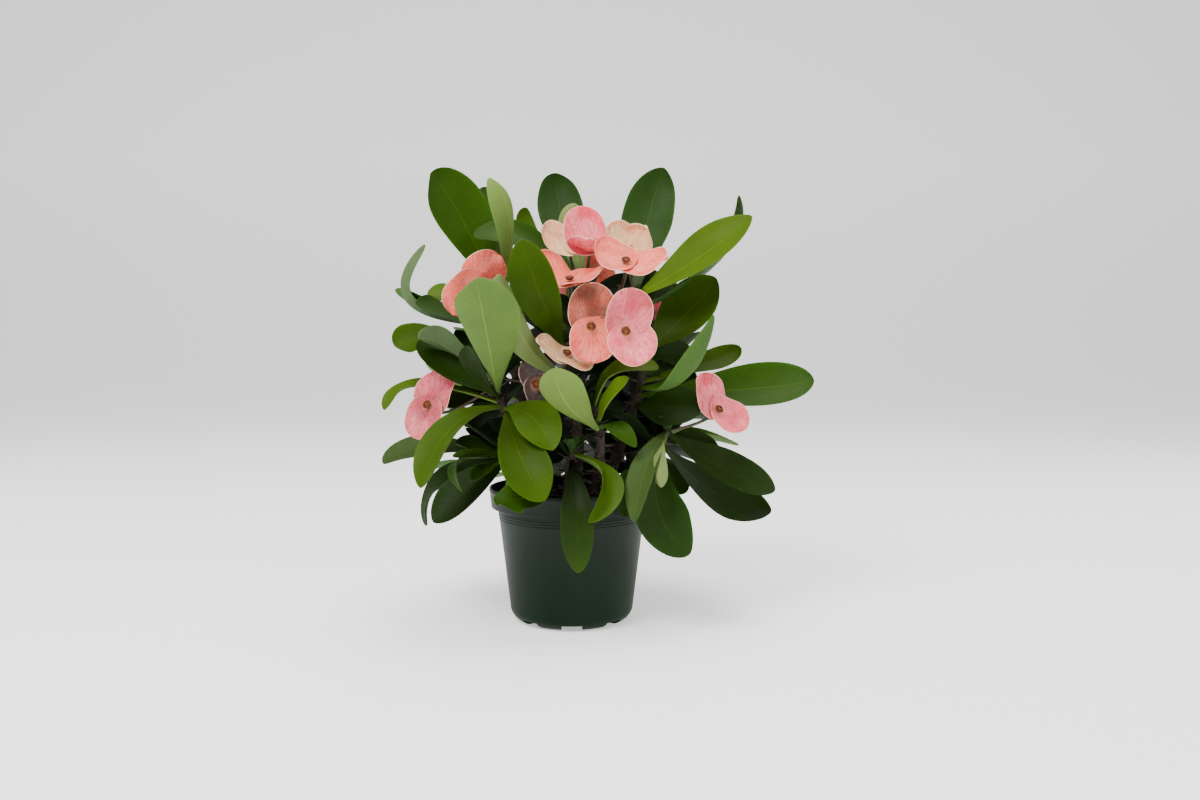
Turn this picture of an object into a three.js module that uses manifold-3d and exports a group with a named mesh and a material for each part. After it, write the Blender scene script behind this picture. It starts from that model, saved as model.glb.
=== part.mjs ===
// A potted crown of thorns: a nursery pot of dark green plastic, filled with potting mix, and a
// bushy plant in flower. Millimetres, +Z up. The origin is the middle of the pot, at its foot.
// +X is to the right and +Y to the back, as the plant is seen from the front.
import * as THREE from 'three';
import { mergeVertices } from 'three/addons/utils/BufferGeometryUtils.js';
import Module from 'manifold-3d';

// Pot
const POT_HEIGHT = 87.8;
const RIM_RADIUS = 54;
const RIM_DEPTH = 13.5;
const RIM_DRAFT = 1.2;
const LIP_ROUND = 0.7;
const WALL_RADIUS_TOP = 48.4;
const WALL_RADIUS_FOOT = 40.6;
const WALL = 1.5;
const FOOT_ROUND = 9.6;
const FOOT_INNER_RADIUS = 26.5;
const FOOT_RADIUS = 31;
const FOOT_DRAFT = 0.6;
const PAD_RADIUS = 13;
const FLOOR_UNDERSIDE = 4.4;
const FLOOR_ROUND = 4.5;
const NOTCH_COUNT = 8;
const NOTCH = { width: 13, height: 4, inner: 20, outer: 46 };
const DRAIN = { width: 8, depth: 7, radius: 32, top: 9 };
const POT_SIDES = 32;

// Potting mix
const SOIL_TOP = 78;
const SOIL_CROWN = 2.5;
const SOIL_SHOULDER = 30;
const SOIL_ROUND = 0.7;
const SOIL_LEDGE = 1.6;
const SEAT_GAP = 0.3;
const SOIL_SIDES = 12;

// Stems, spines and flower stalks
const STEM_SIDES = 6;
const STEM_STATIONS = 6;
const STEM_FOOT_RADIUS = 4.2;
const STEM_TIP_RADIUS = 2.6;
const STEM_FOOT = 68;
const SPINE_START = 21;
const SPINE_STEP = 14;
const SPINE_LENGTH = 9;
const SPINE_RADIUS = 0.7;
const SPINE_SEAT = 0.35;
const SPINE_RISE = 2;
const SPINE_END = 0.95;
const STALK_RADIUS = 1;
const STALK_BEND = 0.4;
const STALK_SIDES = 4;
const STALK_STATIONS = 4;

// Leaves and bracts
const LEAF_THICKNESS = 1.2;
const LEAF_STALK_WIDTH = 3.4;
const LEAF_SEAT = 1.2;
const LEAF_PEAK = 0.64;
const LEAF_CUP = 16;
const RULED_REACH = 0.96;
const FAN = { from: [0.62, 0.98], length: [82, 68], width: [30, 25], arch: 0.07 };
const LOW = { width: 28, arch: 0.07 };
const INNER = {
  count: 24,
  from: [0.3, 0.93],
  offset: 77,
  climb: [4, 42],
  length: [62, 44],
  width: 25,
  arch: 0.08,
  front: -0.3,
  room: 1.8,
};
const CROWN = { middle: new THREE.Vector3(4, 14, 160), reach: new THREE.Vector3(82, 85, 96) };
const BRACT_THICKNESS = 1;
const BRACT_LENGTHS = [27, 22];
const BRACT_WIDTH = 28.5;
const BRACT_LAP = 5;
const BRACT_BEHIND = 1.6;
const BRACT_CUP = 9;
const BRACT_BEND = 0.45;
const BRACT_STATIONS = [0, 0.1, 0.34, 0.66, 0.9, 1];
const CUP_RADIUS = 2.9;
const CUP_HEIGHT = 2.2;
const CUP_SIDES = 7;
const CUP_SEAT = 1.2;
const NECK_RADII = [1.1, 1.7];
const PEDICEL_LENGTH = 5.5;
const GOLDEN_TURN = 137.5;

const COLOUR = {
  pot: 0x2d3c32,
  soil: 0x2a2018,
  leaf: 0x4f7a1e,
  pink: 0xe8a9ab,
  salmon: 0xe79a86,
  cream: 0xeed9bd,
  cup: 0x9a5a2c,
};

const wasm = await Module();
wasm.setup();

const radians = THREE.MathUtils.degToRad;
const { lerp } = THREE.MathUtils;
const vector = (point) => new THREE.Vector3(...point);

// A closed mesh as a solid that can be joined and cut
function solidOf(geometry) {
  const bare = geometry.clone();
  bare.deleteAttribute('normal');
  bare.deleteAttribute('uv');
  const merged = mergeVertices(bare, 1e-5);
  return new wasm.Manifold(
    new wasm.Mesh({
      numProp: 3,
      vertProperties: new Float32Array(merged.attributes.position.array),
      triVerts: new Uint32Array(merged.index.array),
    }),
  );
}

function geometryOf(solid) {
  const { vertProperties, triVerts } = solid.getMesh();
  const geometry = new THREE.BufferGeometry();
  geometry.setAttribute('position', new THREE.BufferAttribute(vertProperties, 3));
  geometry.setIndex(new THREE.BufferAttribute(triVerts, 1));
  const facets = geometry.toNonIndexed();
  facets.computeVertexNormals();
  return facets;
}

const joined = (solids) => solids.reduce((whole, next) => whole.add(next));

// A closed skin over rings of points. Each ring runs anticlockwise seen from the end of the loft,
// and the quads are split in mirrored pairs, so that both faces of a blade bend alike.
function loft(rings) {
  const points = rings.flat();
  const sides = Math.max(...rings.map((ring) => ring.length));
  const faces = [];
  const starts = [];
  let count = 0;
  for (const ring of rings) {
    starts.push(count);
    count += ring.length;
  }
  for (let i = 0; i + 1 < rings.length; i += 1) {
    for (let j = 0; j < sides; j += 1) {
      const next = (j + 1) % sides;
      const [a, b] = [starts[i] + j, starts[i] + next];
      if (rings[i].length === 1) {
        faces.push([starts[i], starts[i + 1] + next, starts[i + 1] + j]);
      } else if (rings[i + 1].length === 1) {
        faces.push([a, b, starts[i + 1]]);
      } else {
        const [d, c] = [starts[i + 1] + j, starts[i + 1] + next];
        const split = j % 2 === 0 ? [[a, b, c], [a, c, d]] : [[a, b, d], [b, c, d]];
        faces.push(...split);
      }
    }
  }
  const last = starts[rings.length - 1];
  for (let j = 1; j + 1 < rings[0].length; j += 1) faces.push([0, j + 1, j]);
  for (let j = 1; j + 1 < rings.at(-1).length; j += 1) faces.push([last, last + j, last + j + 1]);
  const geometry = new THREE.BufferGeometry();
  const flat = new Float32Array(points.flatMap((p) => [p.x, p.y, p.z]));
  geometry.setAttribute('position', new THREE.BufferAttribute(flat, 3));
  geometry.setIndex(faces.flat());
  return solidOf(geometry);
}

// A round bar along a curve, with a radius for each share of its length
function bar(curve, radiusAt, sides, stations) {
  const rings = [];
  for (let i = 0; i < stations; i += 1) {
    const share = i / (stations - 1);
    const ahead = curve.getTangentAt(share);
    const reference = Math.abs(ahead.z) > 0.9 ? new THREE.Vector3(0, 1, 0) : new THREE.Vector3(0, 0, 1);
    const across = new THREE.Vector3().crossVectors(reference, ahead).normalize();
    const up = new THREE.Vector3().crossVectors(ahead, across);
    const centre = curve.getPointAt(share);
    rings.push(
      Array.from({ length: sides }, (_, j) => {
        const turn = (2 * Math.PI * j) / sides;
        return centre
          .clone()
          .addScaledVector(across, radiusAt(share) * Math.cos(turn))
          .addScaledVector(up, radiusAt(share) * Math.sin(turn));
      }),
    );
  }
  return loft(rings);
}

// A curve that passes a middle point half way between its ends
function archThrough(root, middle, tip) {
  const pull = middle.clone().multiplyScalar(2).sub(root.clone().add(tip).multiplyScalar(0.5));
  return new THREE.QuadraticBezierCurve3(root, pull, tip);
}

// A thin blade along its midrib. Its sections are lens-shaped: two edges, and a rib between them on
// the upper and the under face. face is where the upper side looks, cup lifts the edges by degrees,
// and twist turns the blade about its midrib from root to tip.
function blade({ midrib, widthAt, face, cup, twist = 0, thickness, stations }) {
  const rings = stations.map((share) => {
    const centre = midrib.getPoint(share);
    const ahead = midrib.getTangent(share);
    const upper = face.clone().addScaledVector(ahead, -face.dot(ahead)).normalize();
    upper.applyAxisAngle(ahead, radians(twist * (share - 0.5)));
    const side = new THREE.Vector3().crossVectors(upper, ahead);
    const half = widthAt(share) / 2;
    if (half < 0.05) return [centre];
    const at = (reach, lift) => {
      const rise = Math.sin(radians(cup)) * half * (reach * reach - 0.5);
      const out = half * reach * Math.cos(radians(cup));
      return centre.clone().addScaledVector(side, out).addScaledVector(upper, rise + lift);
    };
    const body = Math.min(thickness, half) / 2;
    return [at(1, 0), at(0, body), at(-1, 0), at(0, -body)];
  });
  return loft(rings);
}

// Leaf outline: a narrow foot that widens to its peak, then a round end
function leafWidth(share, width, peak) {
  if (share >= peak) return width * Math.max(0, 1 - ((share - peak) / (1 - peak)) ** 2) ** 0.6;
  const swell = Math.sin((Math.PI / 2) * (share / peak)) ** 1.5;
  return LEAF_STALK_WIDTH + (width - LEAF_STALK_WIDTH) * swell;
}

// Shares of a leaf's length where it has a section
const LEAF_STATIONS = (peak) => (
  [0, 0.28 * peak, 0.62 * peak, peak, peak + 0.5 * (1 - peak), peak + 0.86 * (1 - peak), 1]
);
const PLAIN_STATIONS = (peak) => [0, 0.5 * peak, peak, peak + 0.7 * (1 - peak), 1];

function leafSolid(stem, each, thickness = LEAF_THICKNESS) {
  const { at, via, tip, width, face, plain, peak = LEAF_PEAK, cup = LEAF_CUP, twist = 0 } = each;
  const heart = stem.getPointAt(at);
  const root = heart.clone().lerp(vector(via), LEAF_SEAT / heart.distanceTo(vector(via)));
  return blade({
    midrib: archThrough(root, vector(via), vector(tip)),
    widthAt: (share) => leafWidth(share, width, peak),
    face: vector(face),
    cup,
    twist,
    thickness,
    stations: (plain ? PLAIN_STATIONS : LEAF_STATIONS)(peak),
  });
}

const leaf = (at, via, tip, width, face, more = {}) => ({ at, via, tip, width, face, ...more });

// Leafy stems of the front: the points of each stem, and its leaves in the order of their height.
// at is the share of the stem where the leaf grows, via and tip are where its midrib runs and ends.
const SHOOTS = {
  upper_left: {
    stem: [[-12, 6, STEM_FOOT], [-28, 12, 130], [-44, 14, 185], [-46, 12, 208]],
    leaves: [
      leaf(0.98, [-71, 12, 263], [-91, 4, 292], 40, [0.25, -0.9, 0.35], { peak: 0.58 }),
      leaf(0.99, [-54, 34, 255], [-60, 40, 288], 28, [0.3, -0.85, 0.3]),
      leaf(0.985, [-40, -22, 254], [-51, -28, 284], 22, [-0.85, 0.5, 0.2]),
      leaf(0.94, [-90, 10, 205], [-115, 6, 217], 24, [0.1, 0.3, 0.95]),
      leaf(0.9, [-104, 0, 208], [-94, -4, 245], 22, [0.85, 0.4, 0.3]),
      leaf(0.84, [-78, -6, 200], [-99, -12, 209], 24, [-0.2, -0.5, 0.85], { peak: 0.72 }),
      leaf(0.96, [-77, 22, 212], [-97, 26, 215], 22, [0, -0.6, 0.8], { peak: 0.76 }),
    ],
  },
  left: {
    stem: [[-14, -12, STEM_FOOT], [-26, -18, 104], [-44, -18, 142], [-52, -12, 162]],
    leaves: [
      leaf(0.86, [-48, -78, 188], [-53, -96, 219], 39, [0.15, 0.85, 0.5], { peak: 0.68 }),
      leaf(0.98, [-86, -4, 183], [-114, -8, 180], 24, [0.1, -0.75, 0.65], { peak: 0.84 }),
      leaf(0.94, [-80, -22, 182], [-96, -28, 186], 22, [0, 0.5, 0.87]),
      leaf(0.84, [-72, -20, 165], [-98, -12, 183], 26, [-0.3, -0.5, 0.8]),
      leaf(0.82, [-59, -40, 166], [-65, -44, 180], 18, [-0.6, -0.7, 0.3]),
      leaf(0.9, [-79, 8, 162], [-96, 10, 170], 18, [0.3, 0.7, 0.6]),
      leaf(0.8, [-101, 4, 155], [-122, -2, 138], 13, [0.1, -0.35, 0.93]),
      leaf(0.78, [-74, -52, 131], [-90, -66, 96], 27, [-0.55, -0.75, 0.4]),
      leaf(0.76, [-25, -46, 138], [-11, -62, 118], 28, [-0.1, -0.8, 0.6]),
      leaf(0.74, [-31, -60, 115], [-16, -72, 89], 31, [0.1, -0.9, 0.4]),
    ],
  },
  low_left: {
    stem: [[-22, -2, STEM_FOOT], [-34, -4, 92], [-44, -2, 110]],
    leaves: [
      leaf(0.98, [-97, 8, 113], [-124, 4, 102], 22, [-0.2, -0.6, 0.8]),
      leaf(0.9, [-88, 6, 90], [-96, 2, 61], 20, [-0.9, -0.35, 0]),
      leaf(0.88, [-64, -16, 91], [-88, -24, 68], 29, [-0.4, -0.8, 0.4]),
      leaf(0.96, [-72, -30, 108], [-68, -36, 89], 10, [-0.85, -0.5, 0.2]),
      leaf(0.94, [-59, -24, 112], [-75, -30, 111], 10, [0, -0.6, 0.8]),
      leaf(0.92, [-53, -28, 104], [-63, -36, 96], 14, [-0.3, -0.5, 0.8]),
      leaf(0.985, [-61, -4, 115], [-75, -10, 117], 16, [0, -0.5, 0.85]),
      leaf(0.6, [-28, -54, 90], [-47, -62, 89], 29, [0.1, -0.8, 0.6], { peak: 0.5 }),
    ],
  },
  centre: {
    stem: [[0, -10, STEM_FOOT], [4, -14, 120], [-6, -20, 182]],
    leaves: [
      leaf(0.98, [-17, -60, 206], [-30, -66, 243], 29, [-0.25, -0.9, 0.25], { peak: 0.7 }),
      leaf(0.8, [-29, -52, 183], [-43, -60, 223], 22, [-0.7, 0.65, 0.3]),
    ],
  },
  top: {
    stem: [[-2, 12, STEM_FOOT], [2, 20, 130], [6, 20, 185], [8, 16, 222]],
    leaves: [
      leaf(0.98, [-27, 4, 249], [-64, 2, 251], 24, [0.15, -0.7, 0.7]),
      leaf(0.99, [-7, 50, 271], [-10, 58, 300], 33, [0, -0.95, 0.2], { peak: 0.5 }),
      leaf(0.97, [-26, 30, 251], [-30, 34, 273], 14, [0.3, -0.9, 0.3]),
      leaf(0.985, [2, 22, 252], [2, 24, 275], 22, [0, 0.9, 0.2]),
    ],
  },
  right: {
    stem: [[14, 2, STEM_FOOT], [34, -2, 120], [46, -2, 168], [40, 2, 212]],
    leaves: [
      leaf(0.99, [79, -16, 236], [114, -22, 262], 33, [-0.3, -0.75, 0.6], { peak: 0.54 }),
      leaf(0.98, [53, 44, 267], [65, 52, 303], 37, [-0.1, -0.95, 0.2], { peak: 0.5 }),
      leaf(0.94, [100, 20, 241], [113, 26, 281], 26, [-0.95, -0.25, 0.25], { peak: 0.42 }),
      leaf(0.75, [73, 2, 199], [94, -4, 224], 38, [-0.3, -0.85, 0.45], { peak: 0.58 }),
      leaf(0.6, [68, -48, 163], [86, -52, 199], 27, [-0.6, 0.35, 0.75], { cup: 24 }),
      leaf(0.52, [61, -22, 142], [83, -28, 143], 31, [0.05, -0.85, 0.5], { peak: 0.58 }),
      leaf(0.62, [93, 18, 169], [115, 22, 178], 18, [-0.1, -0.75, 0.65]),
      leaf(0.56, [114, 4, 152], [160, 0, 157], 35, [-0.1, -0.85, 0.55]),
    ],
  },
  low_right: {
    stem: [[22, -12, STEM_FOOT], [38, -18, 96], [56, -20, 116], [62, -16, 126]],
    leaves: [
      leaf(0.99, [45, -57, 108], [37, -67, 75], 22, [-0.5, -0.8, 0.2], { twist: 60 }),
      leaf(0.96, [52, -53, 110], [54, -63, 96], 14, [0.4, 0.8, 0.3], { cup: 40 }),
      leaf(0.9, [54, -44, 82], [73, -52, 53], 37, [0.3, -0.85, 0.4]),
      leaf(0.97, [96, -16, 103], [131, -20, 87], 28, [0.1, -0.8, 0.6]),
      leaf(0.86, [93, 0, 85], [133, 2, 70], 33, [0.1, -0.8, 0.6]),
      leaf(0.5, [35, -40, 95], [33, -46, 74], 16, [0.2, -0.9, 0.3]),
    ],
  },
  centre_front: {
    stem: [[10, -20, STEM_FOOT], [16, -26, 98], [18, -30, 122], [14, -28, 142]],
    leaves: [
      leaf(0.8, [-2, -66, 148], [-9, -78, 168], 30, [0.25, 0.85, 0.4]),
      leaf(0.99, [26, -47, 166], [53, -54, 167], 18, [-0.1, -0.6, 0.8]),
      leaf(0.86, [22, -55, 149], [34, -62, 162], 14, [-0.8, -0.5, 0.3]),
      leaf(0.82, [27, -49, 131], [39, -56, 119], 13, [0.2, -0.8, 0.6]),
    ],
  },
  low_front: {
    stem: [[2, -26, STEM_FOOT], [-2, -32, 96], [1, -34, 114]],
    leaves: [
      leaf(0.98, [23, -62, 100], [10, -72, 76], 20, [0.6, -0.75, 0.2], { cup: 38 }),
      leaf(0.9, [3, -66, 83], [4, -64, 44], 21, [0.05, -0.95, 0.3]),
    ],
  },
};

// Leafy stems of the back, which follow a rule: their leaves fan outwards from a heading, steep and
// short near the tip of the stem, level and long below it. Below the fan stand the low leaves: the
// share of the stem where each grows, its heading and its climb in degrees, and its length.
const BACK_SHOOTS = {
  back_left: {
    stem: [[-12, 26, STEM_FOOT], [-24, 44, 120], [-30, 56, 165]],
    fan: { heading: 135, spread: 80, count: 8, climb: [-8, 52] },
    low: [[0.4, 80, -25, 60], [0.3, 70, 35, 75]],
  },
  back: {
    stem: [[4, 30, STEM_FOOT], [6, 52, 130], [8, 62, 180]],
    fan: { heading: 88, spread: 70, count: 8, climb: [0, 54] },
    low: [[0.4, 80, -25, 75]],
  },
  back_right: {
    stem: [[20, 22, STEM_FOOT], [38, 40, 115], [50, 50, 150]],
    fan: { heading: 42, spread: 80, count: 8, climb: [-6, 50] },
    low: [[0.3, 110, 35, 45], [0.5, 110, 50, 75], [0.5, 50, -25, 75], [0.5, 40, -10, 75]],
  },
  low_back_left: {
    stem: [[-24, 14, STEM_FOOT], [-38, 24, 108]],
    fan: { heading: 160, spread: 70, count: 5, climb: [-14, 30] },
    low: [[0.3, 140, 35, 75]],
  },
};

// A leaf that leaves its stem on a heading, at a climb, both in degrees, and arches on its way
function ruledLeaf(stem, { at, heading, climb, length, width, arch }, more) {
  const out = new THREE.Vector3(Math.cos(radians(heading)), Math.sin(radians(heading)), 0);
  const rise = radians(climb);
  const ahead = out.clone().multiplyScalar(Math.cos(rise)).setZ(Math.sin(rise));
  const lift = out.clone().multiplyScalar(-Math.sin(rise)).setZ(Math.cos(rise));
  const root = stem.getPointAt(at);
  const via = root.clone().addScaledVector(ahead, length * 0.5).addScaledVector(lift, length * arch);
  const tip = root.clone().addScaledVector(ahead, length * RULED_REACH);
  return leaf(at, via.toArray(), tip.toArray(), width, lift.toArray(), more);
}

// The leaf at a place in the fan of a back shoot: 0 is the lowest leaf, 1 the highest
function fannedLeaf(stem, fan, index) {
  const height = index / (fan.count - 1);
  const swing = ((index * GOLDEN_TURN) % 360) / 360 - 0.5;
  return ruledLeaf(stem, {
    at: lerp(...FAN.from, height),
    heading: fan.heading + fan.spread * swing,
    climb: lerp(...fan.climb, height),
    length: lerp(...FAN.length, height),
    width: lerp(...FAN.width, height),
    arch: FAN.arch,
  });
}

function lowLeaf(stem, [at, heading, climb, length]) {
  return ruledLeaf(stem, { at, heading, climb, length, ...LOW }, { plain: true });
}

// Inner leaves fill the crown between the stems. They follow a rule on every shoot: each leaf stands a
// golden turn round from the last, the low ones long and level, the high ones short and steep. Only
// those that stay inside the crown and don't point to the front are grown.
function innerLeaf(stem, shoot, k) {
  const height = (k + 0.5) / INNER.count;
  const heading = k * GOLDEN_TURN + shoot * INNER.offset;
  const each = ruledLeaf(
    stem,
    {
      at: lerp(...INNER.from, height),
      heading,
      climb: lerp(...INNER.climb, height),
      length: lerp(...INNER.length, height),
      width: INNER.width,
      arch: INNER.arch,
    },
    { plain: true },
  );
  const depth = vector(each.tip).sub(CROWN.middle).divide(CROWN.reach).length();
  return Math.sin(radians(heading)) > INNER.front && depth < 1 ? each : null;
}

const stemCurve = (points) => new THREE.CatmullRomCurve3(points.map(vector));

// Spines stand round the woody part of the stem in a rising spiral
function spines(stem, length) {
  const count = Math.round(length / SPINE_STEP);
  return Array.from({ length: count }, (_, k) => {
    const at = lerp(SPINE_START / length, SPINE_END, k / count);
    const ahead = stem.getTangentAt(at);
    const across = new THREE.Vector3(0, 1, 0).cross(ahead).normalize();
    const out = across.applyAxisAngle(ahead, radians(k * GOLDEN_TURN));
    const point = stem.getPointAt(at);
    const stemRadius = lerp(STEM_FOOT_RADIUS, STEM_TIP_RADIUS, at);
    const foot = point.clone().addScaledVector(out, stemRadius * SPINE_SEAT);
    const reach = stemRadius + SPINE_LENGTH;
    const tip = point.clone().addScaledVector(out, reach).addScaledVector(ahead, SPINE_RISE);
    const side = new THREE.Vector3().crossVectors(ahead, out);
    const ring = [0, 120, 240].map((turn) =>
      foot
        .clone()
        .addScaledVector(ahead, SPINE_RADIUS * Math.sin(radians(turn)))
        .addScaledVector(side, SPINE_RADIUS * Math.cos(radians(turn))),
    );
    return loft([ring, [tip]]);
  });
}

// Blooms: the middle of each, the way that it faces, the way that each of its two bracts reaches,
// its colour, and the stem and height that its stalk leaves. size scales a bloom.
const bloom = (middle, face, first, second, colour, shoot, at, size = 1) => (
  { middle, face, bracts: [first, second], colour, shoot, at, size }
);
const BLOOMS = [
  bloom([12, -60, 192], [-0.1, -1, 0.1], [0, -0.1, 1], [0.1, -0.15, -1], 'salmon', 'centre', 0.98),
  bloom([32, -66, 189], [0.1, -0.95, 0.2], [0.25, -0.1, 0.95], [0.55, -0.2, -0.8], 'pink', 'centre', 0.94),
  bloom([-3, -51, 175], [0.2, -0.5, 0.9], [-0.9, -0.1, 0.5], [0.8, -0.2, -0.4], 'cream', 'centre', 0.9, 0.8),
  bloom([-1, -46, 220], [-0.05, -0.35, 0.93], [-0.7, 0.1, 0.72], [0.93, -0.3, 0.35], 'salmon', 'top', 0.96),
  bloom([33, -50, 231], [0, -0.62, 0.78], [0.85, -0.3, 0.1], [-0.78, 0.05, 0.58], 'salmon', 'top', 0.92),
  bloom([38, -6, 241], [-0.1, -0.8, 0.6], [-0.6, -0.1, 0.9], [0.5, -0.2, 0.9], 'cream', 'right', 0.97, 0.85),
  bloom([12, -24, 243], [0.05, -0.75, 0.6], [-0.3, 0.1, 0.9], [-0.1, -0.9, 0.1], 'pink', 'top', 0.98),
  bloom([0, -6, 245], [0.1, -0.8, 0.6], [-0.8, -0.2, 0.5], [0.7, 0.2, 0.7], 'cream', 'top', 0.99, 0.85),
  bloom([-60, -24, 221], [-0.35, 0.8, 0.4], [-0.6, 0, -0.8], [0.7, 0, 0.7], 'salmon', 'upper_left', 0.99),
  bloom([-91, -20, 142], [-0.35, -0.75, 0.5], [0.35, 0.3, 0.85], [-0.3, -0.1, -0.95], 'pink', 'left', 0.92),
  bloom([93, -24, 139], [0.5, -0.65, 0.55], [-0.35, 0.2, 0.9], [0.9, 0.1, -0.35], 'pink', 'low_right', 0.98),
  bloom([-22, -22, 156], [-0.2, -0.9, 0.1], [-0.3, 0, 0.9], [0.3, 0, -0.9], 'pink', 'left', 0.98, 0.65),
  bloom([-22, 62, 206], [-0.3, 0.75, 0.6], [0.6, 0.3, 0.75], [-0.8, 0.3, 0.2], 'pink', 'back_left', 0.98),
  bloom([18, 66, 234], [0.1, 0.8, 0.6], [0.2, -0.3, 0.9], [-0.1, 0.5, -0.8], 'salmon', 'back', 0.98),
  bloom([58, 48, 197], [0.5, 0.7, 0.5], [-0.4, 0.1, 0.9], [0.6, -0.3, -0.7], 'pink', 'back_right', 0.98),
  bloom([-60, 26, 146], [-0.8, 0.5, 0.35], [0, 0, 1], [0.5, 0.7, -0.3], 'cream', 'low_back_left', 0.98),
];

// Bract outline: a broad round petal whose foot laps over the middle of the bloom
const bractWidth = (share, width) => width * Math.sqrt(Math.max(0, 1 - (2 * share - 1) ** 2));

const pedicelEnd = ({ middle, face }, reach) => (
  vector(middle).addScaledVector(vector(face).normalize(), -reach)
);

function bloomSolid(each) {
  const middle = vector(each.middle);
  const face = vector(each.face).normalize();
  const bracts = each.bracts.map((reach, k) => {
    const out = vector(reach).normalize();
    const level = out.clone().addScaledVector(face, -out.dot(face)).normalize();
    const length = BRACT_LENGTHS[k] * each.size;
    const foot = middle.clone().addScaledVector(level, -BRACT_LAP);
    foot.addScaledVector(face, -BRACT_BEHIND * (1 - k));
    const bend = middle.clone().addScaledVector(level, length * BRACT_BEND);
    const rim = middle.clone().addScaledVector(out, length);
    return blade({
      midrib: new THREE.QuadraticBezierCurve3(foot, bend, rim),
      widthAt: (share) => bractWidth(share, BRACT_WIDTH * each.size),
      face,
      cup: BRACT_CUP,
      thickness: BRACT_THICKNESS,
      stations: BRACT_STATIONS,
    });
  });
  const seat = middle.clone().addScaledVector(face, CUP_SEAT);
  const neck = new THREE.LineCurve3(pedicelEnd(each, PEDICEL_LENGTH), seat);
  return joined([bar(neck, (share) => lerp(...NECK_RADII, share), STALK_SIDES, 2), ...bracts]);
}

// The cup of the true flowers, with its rolled lip of nectar glands, sits on the middle of the bracts
function cupSolid(each) {
  const profile = [[0, 0], [CUP_RADIUS, 1], [0.8 * CUP_RADIUS, CUP_HEIGHT], [0, 0.7 * CUP_HEIGHT]];
  const geometry = new THREE.LatheGeometry(profile.map((p) => new THREE.Vector2(...p)), CUP_SIDES);
  geometry.rotateX(Math.PI / 2);
  const face = vector(each.face).normalize();
  geometry.applyQuaternion(new THREE.Quaternion().setFromUnitVectors(new THREE.Vector3(0, 0, 1), face));
  geometry.translate(...vector(each.middle).addScaledVector(face, CUP_SEAT + SEAT_GAP).toArray());
  return solidOf(geometry);
}

// The green stalk from the stem to the bloom, which ends just short of the bloom's own neck
function stalkSolid(stem, each) {
  const root = stem.getPointAt(each.at);
  const end = pedicelEnd(each, PEDICEL_LENGTH + SEAT_GAP);
  const away = vector(each.face).normalize();
  const run = root.distanceTo(end);
  const bend = end.clone().addScaledVector(away, -run * STALK_BEND);
  const path = new THREE.QuadraticBezierCurve3(root, bend, end);
  return bar(path, () => STALK_RADIUS, STALK_SIDES, STALK_STATIONS);
}

function shootSolid(name) {
  const back = BACK_SHOOTS[name];
  const shoot = SHOOTS[name] ?? back;
  const stem = stemCurve(shoot.stem);
  const fanned = (_, k) => fannedLeaf(stem, back.fan, k);
  const leaves = back
    ? [...Array.from({ length: back.fan.count }, fanned), ...back.low.map((each) => lowLeaf(stem, each))]
    : shoot.leaves;
  const radiusAt = (share) => lerp(STEM_FOOT_RADIUS, STEM_TIP_RADIUS, share);
  const parts = [
    bar(stem, radiusAt, STEM_SIDES, STEM_STATIONS),
    ...leaves.map((each) => leafSolid(stem, each)),
    ...BLOOMS.filter((each) => each.shoot === name).map((each) => stalkSolid(stem, each)),
    ...spines(stem, stem.getLength()),
  ];
  return joined(parts);
}

function box(width, depth, height, x, z) {
  const geometry = new THREE.BoxGeometry(depth, width, height);
  geometry.translate(x, 0, z);
  return geometry;
}

// The pot is one moulded shell: a rim band that stands out from a tapering wall, a rounded foot ring
// cut by notches, and a raised floor with a drain hole at each notch.
const rimFoot = POT_HEIGHT - RIM_DEPTH;

function wallRadius(z) {
  return THREE.MathUtils.mapLinear(z, FOOT_ROUND, rimFoot, WALL_RADIUS_FOOT, WALL_RADIUS_TOP);
}

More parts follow.
